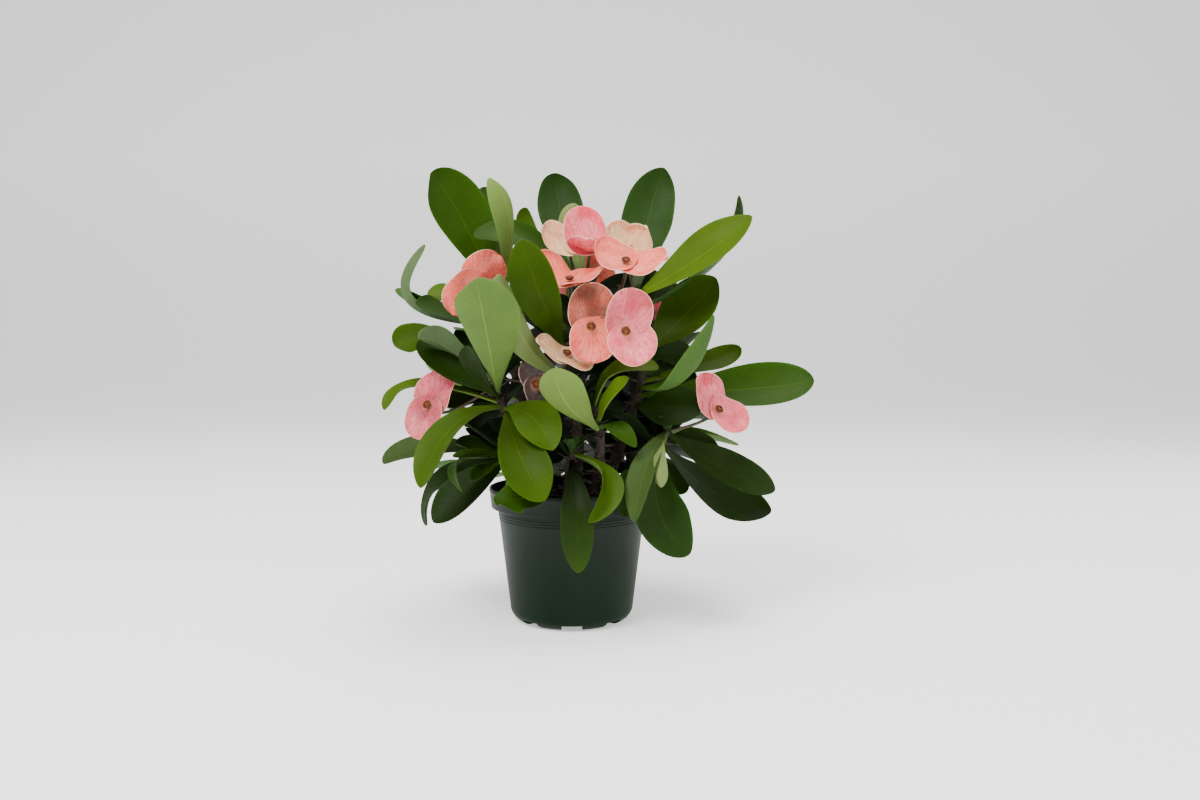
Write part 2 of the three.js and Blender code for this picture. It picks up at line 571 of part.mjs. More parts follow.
function potSolid() {
  const floorTop = FLOOR_UNDERSIDE + WALL;
  const rounded = [0.4, 0.75].map((share) => {
    const turn = (Math.PI / 2) * share;
    const reach = WALL_RADIUS_FOOT - FOOT_RADIUS;
    return [FOOT_RADIUS + reach * Math.sin(turn), FOOT_ROUND * (1 - Math.cos(turn))];
  });
  const profile = [
    [0, 0],
    [PAD_RADIUS, 0],
    [PAD_RADIUS + FOOT_DRAFT, FLOOR_UNDERSIDE],
    [FOOT_INNER_RADIUS - FOOT_DRAFT, FLOOR_UNDERSIDE],
    [FOOT_INNER_RADIUS, 0],
    [FOOT_RADIUS, 0],
    ...rounded,
    [WALL_RADIUS_FOOT, FOOT_ROUND],
    [WALL_RADIUS_TOP, rimFoot],
    [RIM_RADIUS - RIM_DRAFT, rimFoot + LIP_ROUND],
    [RIM_RADIUS, POT_HEIGHT - LIP_ROUND],
    [RIM_RADIUS - LIP_ROUND, POT_HEIGHT],
    [RIM_RADIUS - WALL, POT_HEIGHT - LIP_ROUND],
    [RIM_RADIUS - WALL - RIM_DRAFT, rimFoot + WALL + LIP_ROUND],
    [WALL_RADIUS_TOP - WALL, rimFoot],
    [WALL_RADIUS_FOOT - WALL, FOOT_ROUND + 1],
    [WALL_RADIUS_FOOT - WALL - FLOOR_ROUND, floorTop],
    [PAD_RADIUS, floorTop],
    [PAD_RADIUS - WALL, WALL],
    [0, WALL],
  ];
  const geometry = new THREE.LatheGeometry(profile.map((p) => new THREE.Vector2(...p)), POT_SIDES);
  geometry.rotateX(Math.PI / 2);
  let shell = solidOf(geometry);
  for (let k = 0; k < NOTCH_COUNT; k += 1) {
    const turn = (2 * Math.PI * k) / NOTCH_COUNT - Math.PI / 2;
    const depth = NOTCH.outer - NOTCH.inner;
    const reach = (NOTCH.outer + NOTCH.inner) / 2;
    const notch = box(NOTCH.width, depth, 2 * NOTCH.height, reach, 0).rotateZ(turn);
    const drain = box(DRAIN.width, DRAIN.depth, DRAIN.top, DRAIN.radius, DRAIN.top / 2).rotateZ(turn);
    shell = shell.subtract(solidOf(notch)).subtract(solidOf(drain));
  }
  return shell;
}

// The mix fills the pot to just under the rim, crowned towards the middle, with a plain hole for
// each stem
function soilSolid(stems) {
  const bottom = FLOOR_UNDERSIDE + WALL + SEAT_GAP;
  const side = (z) => wallRadius(z) - WALL - SEAT_GAP;
  const profile = [
    [0, bottom],
    [WALL_RADIUS_FOOT - WALL - FLOOR_ROUND - SOIL_ROUND, bottom],
    [side(FOOT_ROUND + SOIL_LEDGE), FOOT_ROUND + SOIL_LEDGE],
    [side(rimFoot), rimFoot],
    [side(rimFoot) + SOIL_LEDGE, SOIL_TOP],
    [SOIL_SHOULDER, SOIL_TOP + SOIL_CROWN * 0.5],
    [0, SOIL_TOP + SOIL_CROWN],
  ];
  const geometry = new THREE.LatheGeometry(profile.map((p) => new THREE.Vector2(...p)), SOIL_SIDES);
  geometry.rotateX(Math.PI / 2);
  let mix = solidOf(geometry);
  for (const stem of stems) {
    const hole = bar(stem, () => STEM_FOOT_RADIUS + SEAT_GAP, STEM_SIDES, STEM_STATIONS);
    mix = mix.subtract(hole);
  }
  return mix;
}

const shoots = { ...SHOOTS, ...BACK_SHOOTS };
const bodies = {
  pot: potSolid(),
  soil: soilSolid(Object.values(shoots).map((each) => stemCurve(each.stem))),
};
for (const name of Object.keys(shoots)) bodies[`shoot_${name}`] = shootSolid(name);
BLOOMS.forEach((each, k) => {
  bodies[`bloom_${k + 1}_bracts`] = bloomSolid(each);
  bodies[`bloom_${k + 1}_cup`] = cupSolid(each);
});

// An inner leaf that would run into another shoot, a bloom or the pot isn't grown
Object.entries(shoots).forEach(([name, shoot], order) => {
  const node = `shoot_${name}`;
  const stem = stemCurve(shoot.stem);
  for (let k = 0; k < INNER.count; k += 1) {
    const each = innerLeaf(stem, order, k);
    if (!each) continue;
    const room = leafSolid(stem, each, INNER.room);
    const free = Object.entries(bodies).every(
      ([other, body]) => other === node || room.intersect(body).isEmpty(),
    );
    if (free) bodies[node] = bodies[node].add(leafSolid(stem, each));
  }
});

const plant = new THREE.Group();

function add(name, colour, roughness) {
  const material = new THREE.MeshStandardMaterial({ color: colour, roughness, metalness: 0 });
  const mesh = new THREE.Mesh(geometryOf(bodies[name]), material);
  mesh.name = name;
  plant.add(mesh);
}

add('pot', COLOUR.pot, 0.45);
add('soil', COLOUR.soil, 0.95);
for (const name of Object.keys(shoots)) add(`shoot_${name}`, COLOUR.leaf, 0.5);
BLOOMS.forEach((each, k) => {
  add(`bloom_${k + 1}_bracts`, COLOUR[each.colour], 0.6);
  add(`bloom_${k + 1}_cup`, COLOUR.cup, 0.5);
});

export default plant;
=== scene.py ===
import math
import random

import bmesh
import bpy
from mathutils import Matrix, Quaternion, Vector, noise
from mathutils.bvhtree import BVHTree


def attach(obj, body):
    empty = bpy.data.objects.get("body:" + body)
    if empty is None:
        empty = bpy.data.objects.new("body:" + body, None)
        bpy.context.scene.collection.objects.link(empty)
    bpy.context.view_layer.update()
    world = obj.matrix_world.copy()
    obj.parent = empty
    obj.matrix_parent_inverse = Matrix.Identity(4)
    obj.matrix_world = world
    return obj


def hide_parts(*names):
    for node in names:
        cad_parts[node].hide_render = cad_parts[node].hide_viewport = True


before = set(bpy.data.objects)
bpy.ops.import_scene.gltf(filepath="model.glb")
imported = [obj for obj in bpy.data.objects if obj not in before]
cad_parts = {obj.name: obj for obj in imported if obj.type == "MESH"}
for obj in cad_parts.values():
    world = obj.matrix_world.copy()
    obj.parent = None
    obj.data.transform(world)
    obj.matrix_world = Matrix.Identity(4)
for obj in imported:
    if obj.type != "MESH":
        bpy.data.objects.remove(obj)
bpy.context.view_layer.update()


# Floor and studio. A plain pale floor that runs up into the backdrop, lit by large soft lamps, and a
# camera at the photograph's height, far enough away that the pot's rim is seen almost level.
def new_material(name):
    """A material with its node tree and the node that is its surface"""
    material = bpy.data.materials.new(name)
    material.use_nodes = True
    return material, material.node_tree, material.node_tree.nodes["Principled BSDF"]


def settle(node, **values):
    """Sets inputs of a node to plain values, with _ for each space in an input's name"""
    for name, value in values.items():
        node.inputs[name.replace("_", " ")].default_value = value


def to_object(name, mesh):
    """A new object of the scene made from a bmesh, which is used up"""
    data = bpy.data.meshes.new(name)
    mesh.to_mesh(data)
    mesh.free()
    made = bpy.data.objects.new(name, data)
    bpy.context.collection.objects.link(made)
    return made


FLOOR_HALF_WIDTH = 3.0
FLOOR_FRONT = -2.0
FLOOR_BACK = 2.4
BACKDROP_RADIUS = 0.8
BACKDROP_TOP = 3.2
BACKDROP_STEPS = 12
floor_material, _, surface = new_material("studio_floor")
settle(surface, Base_Color=(0.9, 0.9, 0.89, 1), Roughness=0.9)
settle(surface, Emission_Color=(1, 1, 1, 1), Emission_Strength=0.55)
floor_mesh = bmesh.new()
section = [(FLOOR_FRONT, 0.0)]
for step in range(BACKDROP_STEPS + 1):
    turn = math.pi / 2 * step / BACKDROP_STEPS
    section.append((FLOOR_BACK + BACKDROP_RADIUS * math.sin(turn), BACKDROP_RADIUS * (1 - math.cos(turn))))
section.append((FLOOR_BACK + BACKDROP_RADIUS, BACKDROP_TOP))
verts = [floor_mesh.verts.new((-FLOOR_HALF_WIDTH, y, z)) for y, z in section]
strip = [floor_mesh.edges.new(pair) for pair in zip(verts, verts[1:])]
made = bmesh.ops.extrude_edge_only(floor_mesh, edges=strip)["geom"]
moved = [v for v in made if isinstance(v, bmesh.types.BMVert)]
bmesh.ops.translate(floor_mesh, verts=moved, vec=(2 * FLOOR_HALF_WIDTH, 0, 0))
bmesh.ops.recalc_face_normals(floor_mesh, faces=floor_mesh.faces)
floor = to_object("floor", floor_mesh)
floor.data.shade_smooth()
floor.data.materials.append(floor_material)

# Where each lamp stands and how wide it is, in metres, and its watts
LAMPS = {
    "key": ((-0.7, -1.0, 1.4), 0.9, 42),
    "fill": ((1.2, -0.9, 0.7), 1.2, 10),
    "top": ((0.1, 0.1, 1.6), 1.0, 24),
    "left": ((-1.3, 0.3, 0.35), 0.9, 3.5),
    "right": ((1.3, 0.3, 0.35), 0.9, 6),
}
LAMP_AIM = Vector((0, 0, 0.15))
for name, (at, size, watts) in LAMPS.items():
    data = bpy.data.lights.new(name, "AREA")
    data.shape = "DISK"
    data.size = size
    data.energy = watts
    light = bpy.data.objects.new(name, data)
    light.location = at
    light.rotation_euler = (LAMP_AIM - light.location).to_track_quat("-Z", "Y").to_euler()
    bpy.context.collection.objects.link(light)

world = bpy.data.worlds.new("studio")
world.use_nodes = True
settle(world.node_tree.nodes["Background"], Color=(1, 1, 1, 1), Strength=0.36)
bpy.context.scene.world = world

CAMERA_DISTANCE = 0.7
CAMERA_HEIGHT = 0.1883
CAMERA_DOWN = 3.6
CAMERA_RIGHT = 1.53
CAMERA_LENS = 32.06
camera_data = bpy.data.cameras.new("camera")
camera_data.lens = CAMERA_LENS
camera = bpy.data.objects.new("camera", camera_data)
camera.location = (0, -CAMERA_DISTANCE, CAMERA_HEIGHT)
camera.rotation_euler = (math.radians(90 - CAMERA_DOWN), 0, math.radians(-CAMERA_RIGHT))
bpy.context.collection.objects.link(camera)
bpy.context.scene.camera = camera


# Pot. One thin shell of dark green plastic, injection moulded: a tapering wall under a rim band that
# stands out, fine raised lines below the band, and a rounded foot cut by notches beside its drain holes.
MM = 0.001
POT_HEIGHT = 87.8
RIM_RADIUS = 54
RIM_DEPTH = 13.5
WALL_RADIUS_TOP = 48.4
WALL_RADIUS_FOOT = 40.6
WALL = 1.5
FOOT_ROUND = 9.6
FOOT_INNER_RADIUS = 26.5
FOOT_RADIUS = 31
FOOT_DRAFT = 0.6
PAD_RADIUS = 13
FLOOR_UNDERSIDE = 4.4
FLOOR_TOP = FLOOR_UNDERSIDE + WALL
RIM_FOOT = POT_HEIGHT - RIM_DEPTH
FLOOR_ROUND = 4.5
FOOT_STEPS = 8
POT_TURNS = 160
# Sections as pairs of outward and upward offsets in mm: from the wall at each raised line, from the
# wall's top, from the rim's foot, and from the rim's top edge over its lip to the inside.
RAISED_LINES = (RIM_FOOT - 7.0, RIM_FOOT - 5.2, RIM_FOOT - 3.4)
RAISED_SECTION = ((0, -0.5), (0.22, -0.2), (0.22, 0.2), (0, 0.5))
WALL_TOP = ((0, 0), (0.5, 0.05))
RIM_SHELF = ((-1.8, 0.3), (-1.3, 0.75))
RIM_LIP = ((-0.25, -2.6), (0, -2.3), (0, -0.7), (-0.2, -0.2), (-0.7, 0), (0.2 - WALL, -0.2), (-WALL, -0.7))
INSIDE_SLOPE = 1.2
INSIDE_RISE = 1


def wall_radius(z):
    """Radius of the outside of the wall at a height, in mm"""
    share = (z - FOOT_ROUND) / (RIM_FOOT - FOOT_ROUND)
    return WALL_RADIUS_FOOT + (WALL_RADIUS_TOP - WALL_RADIUS_FOOT) * share


def sealed(mesh, gap=2e-6):
    """Joins points that lie together and turns all faces outward"""
    bmesh.ops.remove_doubles(mesh, verts=mesh.verts, dist=gap)
    bmesh.ops.recalc_face_normals(mesh, faces=mesh.faces)
    return mesh


def turned(profile, turns):
    """A closed skin of revolution round the Z axis, in metres, from radius and height in mm"""
    mesh = bmesh.new()
    verts = [mesh.verts.new((radius * MM, 0, z * MM)) for radius, z in profile]
    outline = [mesh.edges.new(pair) for pair in zip(verts, verts[1:])]
    bmesh.ops.spin(
        mesh, geom=verts + outline, cent=(0, 0, 0), axis=(0, 0, 1), angle=2 * math.pi, steps=turns,
        use_merge=True,
    )
    return sealed(mesh, 1e-6)


def placed(name, mesh, materials, sharp=40):
    """The mesh as a piece of the object that rides with it"""
    piece = to_object(name, mesh)
    piece.data.shade_smooth()
    piece.data.set_sharp_from_angle(angle=math.radians(sharp))
    for material in materials:
        piece.data.materials.append(material)
    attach(piece, "root")
    return piece


profile = [(0, 0), (PAD_RADIUS, 0), (PAD_RADIUS + FOOT_DRAFT, FLOOR_UNDERSIDE)]
profile += [(FOOT_INNER_RADIUS - FOOT_DRAFT, FLOOR_UNDERSIDE), (FOOT_INNER_RADIUS, 0), (FOOT_RADIUS, 0)]
for step in range(1, FOOT_STEPS + 1):
    turn = math.pi / 2 * step / FOOT_STEPS
    reach = WALL_RADIUS_FOOT - FOOT_RADIUS
    profile.append((FOOT_RADIUS + reach * math.sin(turn), FOOT_ROUND * (1 - math.cos(turn))))
for z in RAISED_LINES:
    profile += [(wall_radius(z + up) + out, z + up) for out, up in RAISED_SECTION]
profile += [(WALL_RADIUS_TOP + out, RIM_FOOT + up) for out, up in WALL_TOP]
profile += [(RIM_RADIUS + out, RIM_FOOT + up) for out, up in RIM_SHELF]
profile += [(RIM_RADIUS + out, POT_HEIGHT + up) for out, up in RIM_LIP]
profile += [(RIM_RADIUS - WALL - INSIDE_SLOPE, RIM_FOOT + WALL + INSIDE_RISE)]
profile += [(WALL_RADIUS_TOP - WALL, RIM_FOOT), (WALL_RADIUS_FOOT - WALL, FOOT_ROUND + INSIDE_RISE)]
profile += [(WALL_RADIUS_FOOT - WALL - FLOOR_ROUND, FLOOR_TOP)]
profile += [(PAD_RADIUS, FLOOR_TOP), (PAD_RADIUS - WALL, WALL), (0, WALL)]

NOTCH_COUNT = 8
NOTCH = {"width": 13, "from": 20, "to": 46, "height": 4}
DRAIN = {"width": 8, "from": 28.5, "to": 35.5, "height": 9}
CUT_BELOW = -1
cutter_mesh = bmesh.new()
for k in range(NOTCH_COUNT):
    turn = Quaternion((0, 0, 1), 2 * math.pi * k / NOTCH_COUNT - math.pi / 2)
    for cut in (NOTCH, DRAIN):
        corners = bmesh.ops.create_cube(cutter_mesh, size=1)["verts"]
        size = Vector((cut["to"] - cut["from"], cut["width"], cut["height"] - CUT_BELOW)) * MM
        middle = Vector(((cut["to"] + cut["from"]) / 2, 0, (cut["height"] + CUT_BELOW) / 2)) * MM
        for corner in corners:
            corner.co = turn @ (Vector(a * b for a, b in zip(corner.co, size)) + middle)
cutter = to_object("pot_cutter", cutter_mesh)
shell = to_object("pot_blank", turned(profile, POT_TURNS))
carve = shell.modifiers.new("carve", "BOOLEAN")
carve.operation = "DIFFERENCE"
carve.solver = "EXACT"
carve.use_self = True
carve.object = cutter
bpy.context.view_layer.update()
carved = bmesh.new()
carved.from_object(shell, bpy.context.evaluated_depsgraph_get())
for each in (cutter, shell):
    bpy.data.objects.remove(each)


class Wire:
    """A value in a material's node tree, with arithmetic on it"""

    def __init__(self, tree, socket=None):
        self.tree = tree
        self.socket = socket

    def node(self, kind, settings=None, values=None, output=0):
        made = self.tree.nodes.new(kind)
        for key, value in (settings or {}).items():
            setattr(made, key, value)
        for key, value in (values or {}).items():
            if isinstance(value, Wire):
                self.tree.links.new(value.socket, made.inputs[key])
            else:
                made.inputs[key].default_value = value
        return Wire(self.tree, made.outputs[output])

    def math(self, operation, *others):
        return self.node("ShaderNodeMath", {"operation": operation}, dict(enumerate((self, *others))))

    def __add__(self, other):
        return self.math("ADD", other)

    def __sub__(self, other):
        return self.math("SUBTRACT", other)

    def __rsub__(self, other):
        return self.node("ShaderNodeMath", {"operation": "SUBTRACT"}, {0: other, 1: self})

    def __mul__(self, other):
        return self.math("MULTIPLY", other)

    def __truediv__(self, other):
        return self.math("DIVIDE", other)

    __radd__ = __add__
    __rmul__ = __mul__

    def step(self, low, high):
        """0 below low and 1 above high, with a smooth rise between"""
        values = {"Value": self, "From Min": low, "From Max": high}
        return self.node("ShaderNodeMapRange", {"interpolation_type": "SMOOTHSTEP"}, values)

    def lines(self, low, high):
        """1 on thin lines midway between whole numbers, which fade from low to high beside them"""
        return 1 - ((self.math("FRACT") - 0.5).math("ABSOLUTE") * 2).step(low, high)

    def mix(self, first, second, blend="MIX"):
        """The first colour where this value is 0, the second where it is 1"""
        settings = {"data_type": "RGBA", "blend_type": blend}
        return self.node("ShaderNodeMix", settings, {0: self, 6: first, 7: second}, 2)

    def part(self, axis):
        """One of the three parts of a vector"""
        return self.node("ShaderNodeSeparateXYZ", None, {"Vector": self}, axis)

    def to(self, surface, name):
        self.tree.links.new(self.socket, surface.inputs[name])


def grain(tree, scale, detail=3, roughness=0.55, stretch=(1, 1, 1)):
    """Noise fixed to the object, finer with a larger scale"""
    place = Wire(tree).node("ShaderNodeTexCoord", output=3)
    place = place.node("ShaderNodeMapping", None, {"Vector": place, "Scale": stretch})
    values = {"Vector": place, "Scale": scale, "Detail": detail, "Roughness": roughness}
    return place.node("ShaderNodeTexNoise", None, values)


def bump(height, distance, strength):
    values = {"Height": height, "Distance": distance, "Strength": strength}
    return height.node("ShaderNodeBump", None, values)


pot_material, tree, surface = new_material("pot_plastic")
mottle = grain(tree, 30)
colour = mottle.step(0.35, 0.7).mix((0.0014, 0.0085, 0.002, 1), (0.002, 0.0115, 0.003, 1))
# Painted reflection: the wall is made lighter and greyer towards the rim, where light from above falls on it
height = Wire(tree).node("ShaderNodeTexCoord", output=3).part(2)
height.step(0.02, POT_HEIGHT * MM).mix(colour, (0.0105, 0.0165, 0.012, 1)).to(surface, "Base Color")
settle(surface, Specular_IOR_Level=0.1)
(0.42 + 0.14 * grain(tree, 60, stretch=(1, 1, 0.2))).to(surface, "Roughness")
bump(grain(tree, 900, detail=2), 0.00008, 0.5).to(surface, "Normal")
pot = placed("pot_shell", carved, [pot_material], 35)
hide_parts("pot")


# Potting mix. Dark damp peat and bark that fills the pot to just under its rim, poured in and pressed
# down round the stems, with loose chips of bark on its top.
random.seed(11)
SOIL_TOP = 77.1
SOIL_CROWN = 2.5
SOIL_LEDGE = 1.6
SOIL_ROUND = 5.2
SEAT_GAP = 0.3
SOIL_RINGS = 60
SOIL_TURNS = 180
LUMPS = ((3, 0.16, 1.1), (9, 0.5, 0.7), (5, 1.3, 0.3))
CHIP_COUNT = 420
CHIP_SIZE = (1.2, 3.6)
CHIP_WIDTH = (0.4, 0.8)
CHIP_THICKNESS = (0.15, 0.4)
CHIP_ROUGH = (0.75, 1.15)
CHIP_MARGIN = 2.5
CHIP_RISE = 0.2
mix_edge = wall_radius(RIM_FOOT) - WALL - SEAT_GAP + SOIL_LEDGE


def mix_height(x, y):
    """Height of the top of the mix in mm"""
    height = SOIL_TOP + SOIL_CROWN * (1 - min(1, math.hypot(x, y) / mix_edge))
    for seed, fineness, tall in LUMPS:
        height += noise.noise(Vector((x, y, seed)) * fineness) * tall
    return height


def stitched(mesh, rings):
    """The faces between each ring of points and the next, where a ring of one is a tip"""
    faces = []
    for lower, upper in zip(rings, rings[1:]):
        count = max(len(lower), len(upper))
        for k in range(count):
            after = (k + 1) % count
            if len(lower) == 1:
                corners = (lower[0], upper[after], upper[k])
            elif len(upper) == 1:
                corners = (lower[k], lower[after], upper[0])
            else:
                corners = (lower[k], lower[after], upper[after], upper[k])
            faces.append(mesh.faces.new(corners))
    return faces


soil_mesh = bmesh.new()
soil_bottom = FLOOR_TOP + SEAT_GAP
soil_foot = FOOT_ROUND + SOIL_LEDGE
side = [(WALL_RADIUS_FOOT - WALL - SOIL_ROUND, soil_bottom)]
side += [(wall_radius(z) - WALL - SEAT_GAP, z) for z in (soil_foot, RIM_FOOT)]
rings = [[soil_mesh.verts.new((0, 0, soil_bottom * MM))]]
angles = [2 * math.pi * k / SOIL_TURNS for k in range(SOIL_TURNS)]
circle = [(math.cos(a), math.sin(a)) for a in angles]
for radius, z in side:
    rings.append([soil_mesh.verts.new((radius * c * MM, radius * s * MM, z * MM)) for c, s in circle])
for k in range(SOIL_RINGS):
    radius = mix_edge * (1 - k / SOIL_RINGS)
    places = [(radius * c, radius * s) for c, s in circle]
    rings.append([soil_mesh.verts.new((x * MM, y * MM, mix_height(x, y) * MM)) for x, y in places])
rings.append([soil_mesh.verts.new((0, 0, mix_height(0, 0) * MM))])
stitched(soil_mesh, rings)
bmesh.ops.recalc_face_normals(soil_mesh, faces=soil_mesh.faces)
for k in range(CHIP_COUNT):
    reach = (mix_edge - CHIP_MARGIN) * math.sqrt(random.random())
    a = random.uniform(0, 2 * math.pi)
    x, y = reach * math.cos(a), reach * math.sin(a)
    size = random.uniform(*CHIP_SIZE)
    chip = bmesh.ops.create_icosphere(soil_mesh, subdivisions=1, radius=MM)["verts"]
    spin = Quaternion((random.gauss(0, 1), random.gauss(0, 1), random.gauss(0, 1)), random.uniform(0, 6))
    shape = Vector((size, size * random.uniform(*CHIP_WIDTH), size * random.uniform(*CHIP_THICKNESS)))
    at = Vector((x, y, mix_height(x, y) + CHIP_RISE)) * MM
    for corner in chip:
        rough = random.uniform(*CHIP_ROUGH)
        corner.co = spin @ Vector(a * b * rough for a, b in zip(corner.co, shape)) + at
soil_material, tree, surface = new_material("potting_mix")
crumbs = grain(tree, 260, detail=6, roughness=0.7)
fibres = grain(tree, 90, detail=4)
colour = crumbs.step(0.38, 0.66).mix((0.012, 0.009, 0.007, 1), (0.075, 0.05, 0.033, 1))
fibres.step(0.6, 0.75).mix(colour, (0.14, 0.1, 0.068, 1)).to(surface, "Base Color")
settle(surface, Roughness=0.95, Specular_IOR_Level=0.25)
bump(crumbs + 0.6 * grain(tree, 900, detail=4), 0.0012, 0.9).to(surface, "Normal")
soil = placed("potting_mix", soil_mesh, [soil_material], 60)
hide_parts("soil")


# Stems. Each shoot is a grey-brown succulent stem that stands in the mix, ridged with the scars of old
# leaves and set all round with slim woody spines. The slender stalks of its blooms grow from near its top.
STEM_FOOT = 68
STEM_FOOT_RADIUS = 4.2
STEM_TIP_RADIUS = 2.6
STEM_SIDES = 16
STEM_ROWS = 60
SPINE_START = 15
SPINE_STEP = 3.6
SPINE_LENGTH = 9
SPINE_RADIUS = 0.6
SPINE_SIDES = 6
SPINE_SECTION = ((0, 1.6), (0.12, 0.95), (0.5, 0.6))
SPINE_BEND = 0.22
SPINE_END = 0.96
SPINE_SPLAY = 0.35
SPINE_UNEVEN = (0.65, 1.15)
SPINE_SEAT = 0.4
PEDICEL_LENGTH = 5.5 * MM
STALK_RADIUS = 1.0 * MM
STALK_SWELL = 0.5
STALK_BEND = 0.4
STALK_ROWS = 15
STALK_SIDES = 10
STALK_SEAT = 1.2 * MM
KNOB_BASE = 0.97
KNOB_HEIGHT = 0.05
GOLDEN_DEGREES = 137.5
GOLDEN_TURN = math.radians(GOLDEN_DEGREES)
STEMS = {
    "upper_left": [(-12, 6, STEM_FOOT), (-28, 12, 130), (-44, 14, 185), (-46, 12, 208)],
    "left": [(-14, -12, STEM_FOOT), (-26, -18, 104), (-44, -18, 142), (-52, -12, 162)],
    "low_left": [(-22, -2, STEM_FOOT), (-34, -4, 92), (-44, -2, 110)],
    "centre": [(0, -10, STEM_FOOT), (4, -14, 120), (-6, -20, 182)],
    "top": [(-2, 12, STEM_FOOT), (2, 20, 130), (6, 20, 185), (8, 16, 222)],
    "right": [(14, 2, STEM_FOOT), (34, -2, 120), (46, -2, 168), (40, 2, 212)],
    "low_right": [(22, -12, STEM_FOOT), (38, -18, 96), (56, -20, 116), (62, -16, 126)],
    "centre_front": [(10, -20, STEM_FOOT), (16, -26, 98), (18, -30, 122), (14, -28, 142)],
    "low_front": [(2, -26, STEM_FOOT), (-2, -32, 96), (1, -34, 114)],
    "back_left": [(-12, 26, STEM_FOOT), (-24, 44, 120), (-30, 56, 165)],
    "back": [(4, 30, STEM_FOOT), (6, 52, 130), (8, 62, 180)],
    "back_right": [(20, 22, STEM_FOOT), (38, 40, 115), (50, 50, 150)],
    "low_back_left": [(-24, 14, STEM_FOOT), (-38, 24, 108)],
}


class Run:
    """A smooth curve through points given in mm, read by its share of length, in metres"""

    FINE = 40
    NEAR = 0.01

    def __init__(self, points):
        places = [Vector(p) * MM for p in points]
        knots = [2 * places[0] - places[1], *places, 2 * places[-1] - places[-2]]
        self.points = []
        for a, b, c, d in zip(knots, knots[1:], knots[2:], knots[3:]):
            ab, bc, cd = (b - a).length**0.5, (c - b).length**0.5, (d - c).length**0.5
            leave = ((b - a) / ab - (c - a) / (ab + bc) + (c - b) / bc) * bc
            arrive = ((c - b) / bc - (d - b) / (bc + cd) + (d - c) / cd) * bc
            for k in range(self.FINE):
                t = k / self.FINE
                curved = b * (2 * t**3 - 3 * t**2 + 1) + leave * (t**3 - 2 * t**2 + t)
                self.points.append(curved + c * (3 * t**2 - 2 * t**3) + arrive * (t**3 - t**2))
        self.points.append(places[-1])
        self.travelled = [0.0]
        for a, b in zip(self.points, self.points[1:]):
            self.travelled.append(self.travelled[-1] + (b - a).length)
        self.length = self.travelled[-1]

    def at(self, share):
        wanted = share * self.length
        k = 0
        while k < len(self.points) - 2 and self.travelled[k + 1] < wanted:
            k += 1
        part = (wanted - self.travelled[k]) / (self.travelled[k + 1] - self.travelled[k])
        return self.points[k].lerp(self.points[k + 1], part)

    def ahead(self, share):
        return (self.at(min(1, share + self.NEAR)) - self.at(max(0, share - self.NEAR))).normalized()


def arc(start, pull, end, t):
    """A place on a curve from start to end that is drawn towards a third point"""
    return start * (1 - t) ** 2 + pull * (2 * t * (1 - t)) + end * t**2


def tube(mesh, places, radii, sides):
    """A closed round skin along the places. radii gives the radius in metres for each row and angle."""
    rings = []
    for k, place in enumerate(places):
        ahead = (places[min(k + 1, len(places) - 1)] - places[max(k - 1, 0)]).normalized()
        reference = Vector((0, 1, 0)) if abs(ahead.z) > 0.9 else Vector((0, 0, 1))
        across = reference.cross(ahead).normalized()
        up = ahead.cross(across)
        ring = []
        for j in range(sides):
            a = 2 * math.pi * j / sides
            reach = radii(k / (len(places) - 1), a)
            ring.append(mesh.verts.new(place + across * (reach * math.cos(a)) + up * (reach * math.sin(a))))
        rings.append(ring)
    return [*stitched(mesh, rings), mesh.faces.new(list(reversed(rings[0]))), mesh.faces.new(rings[-1])]


def stem_radius(share):
    return (STEM_FOOT_RADIUS + (STEM_TIP_RADIUS - STEM_FOOT_RADIUS) * share) * MM


def stalk_radius(share, turn):
    return STALK_RADIUS * (1 + STALK_SWELL * share**6)


def bark_reach(share, turn, phase, length):
    """Stem radius with the low knobs that the leaves left behind, in a rising spiral"""
    rise = share * length / (SPINE_STEP * MM)
    knobs = math.cos(turn * 2 - rise * GOLDEN_TURN * 2 + phase) * math.cos(math.pi * rise)
    return stem_radius(share) * (KNOB_BASE + KNOB_HEIGHT * knobs)


def spine(mesh, foot, out, ahead, length):
    """The faces of a slim thorn, thick at its foot and bent a little towards the top of the stem"""
    side_way = ahead.cross(out)
    angles = [2 * math.pi * j / SPINE_SIDES for j in range(SPINE_SIDES)]
    around = [side_way * math.cos(a) + ahead * math.sin(a) for a in angles]
    rings = []
    for share, thick in SPINE_SECTION:
        middle = foot + out * (length * share) + ahead * (length * SPINE_BEND * share * share)
        reach = SPINE_RADIUS * thick * MM
        rings.append([mesh.verts.new(middle + way * reach) for way in around])
    tip = foot + out * length + ahead * (length * SPINE_BEND)
    rings.append([mesh.verts.new(tip)])
    return [*stitched(mesh, rings), mesh.faces.new(list(reversed(rings[0])))]


def bloom(middle, face, first, second, colour, shoot, at, size=1.0):
    """A bloom with its middle in mm, where it faces, where its two bracts reach, and its stem"""
    places = {"middle": Vector(middle) * MM, "face": Vector(face).normalized()}
    bracts = (Vector(first), Vector(second))
    return {**places, "bracts": bracts, "colour": colour, "shoot": shoot, "at": at, "size": size}


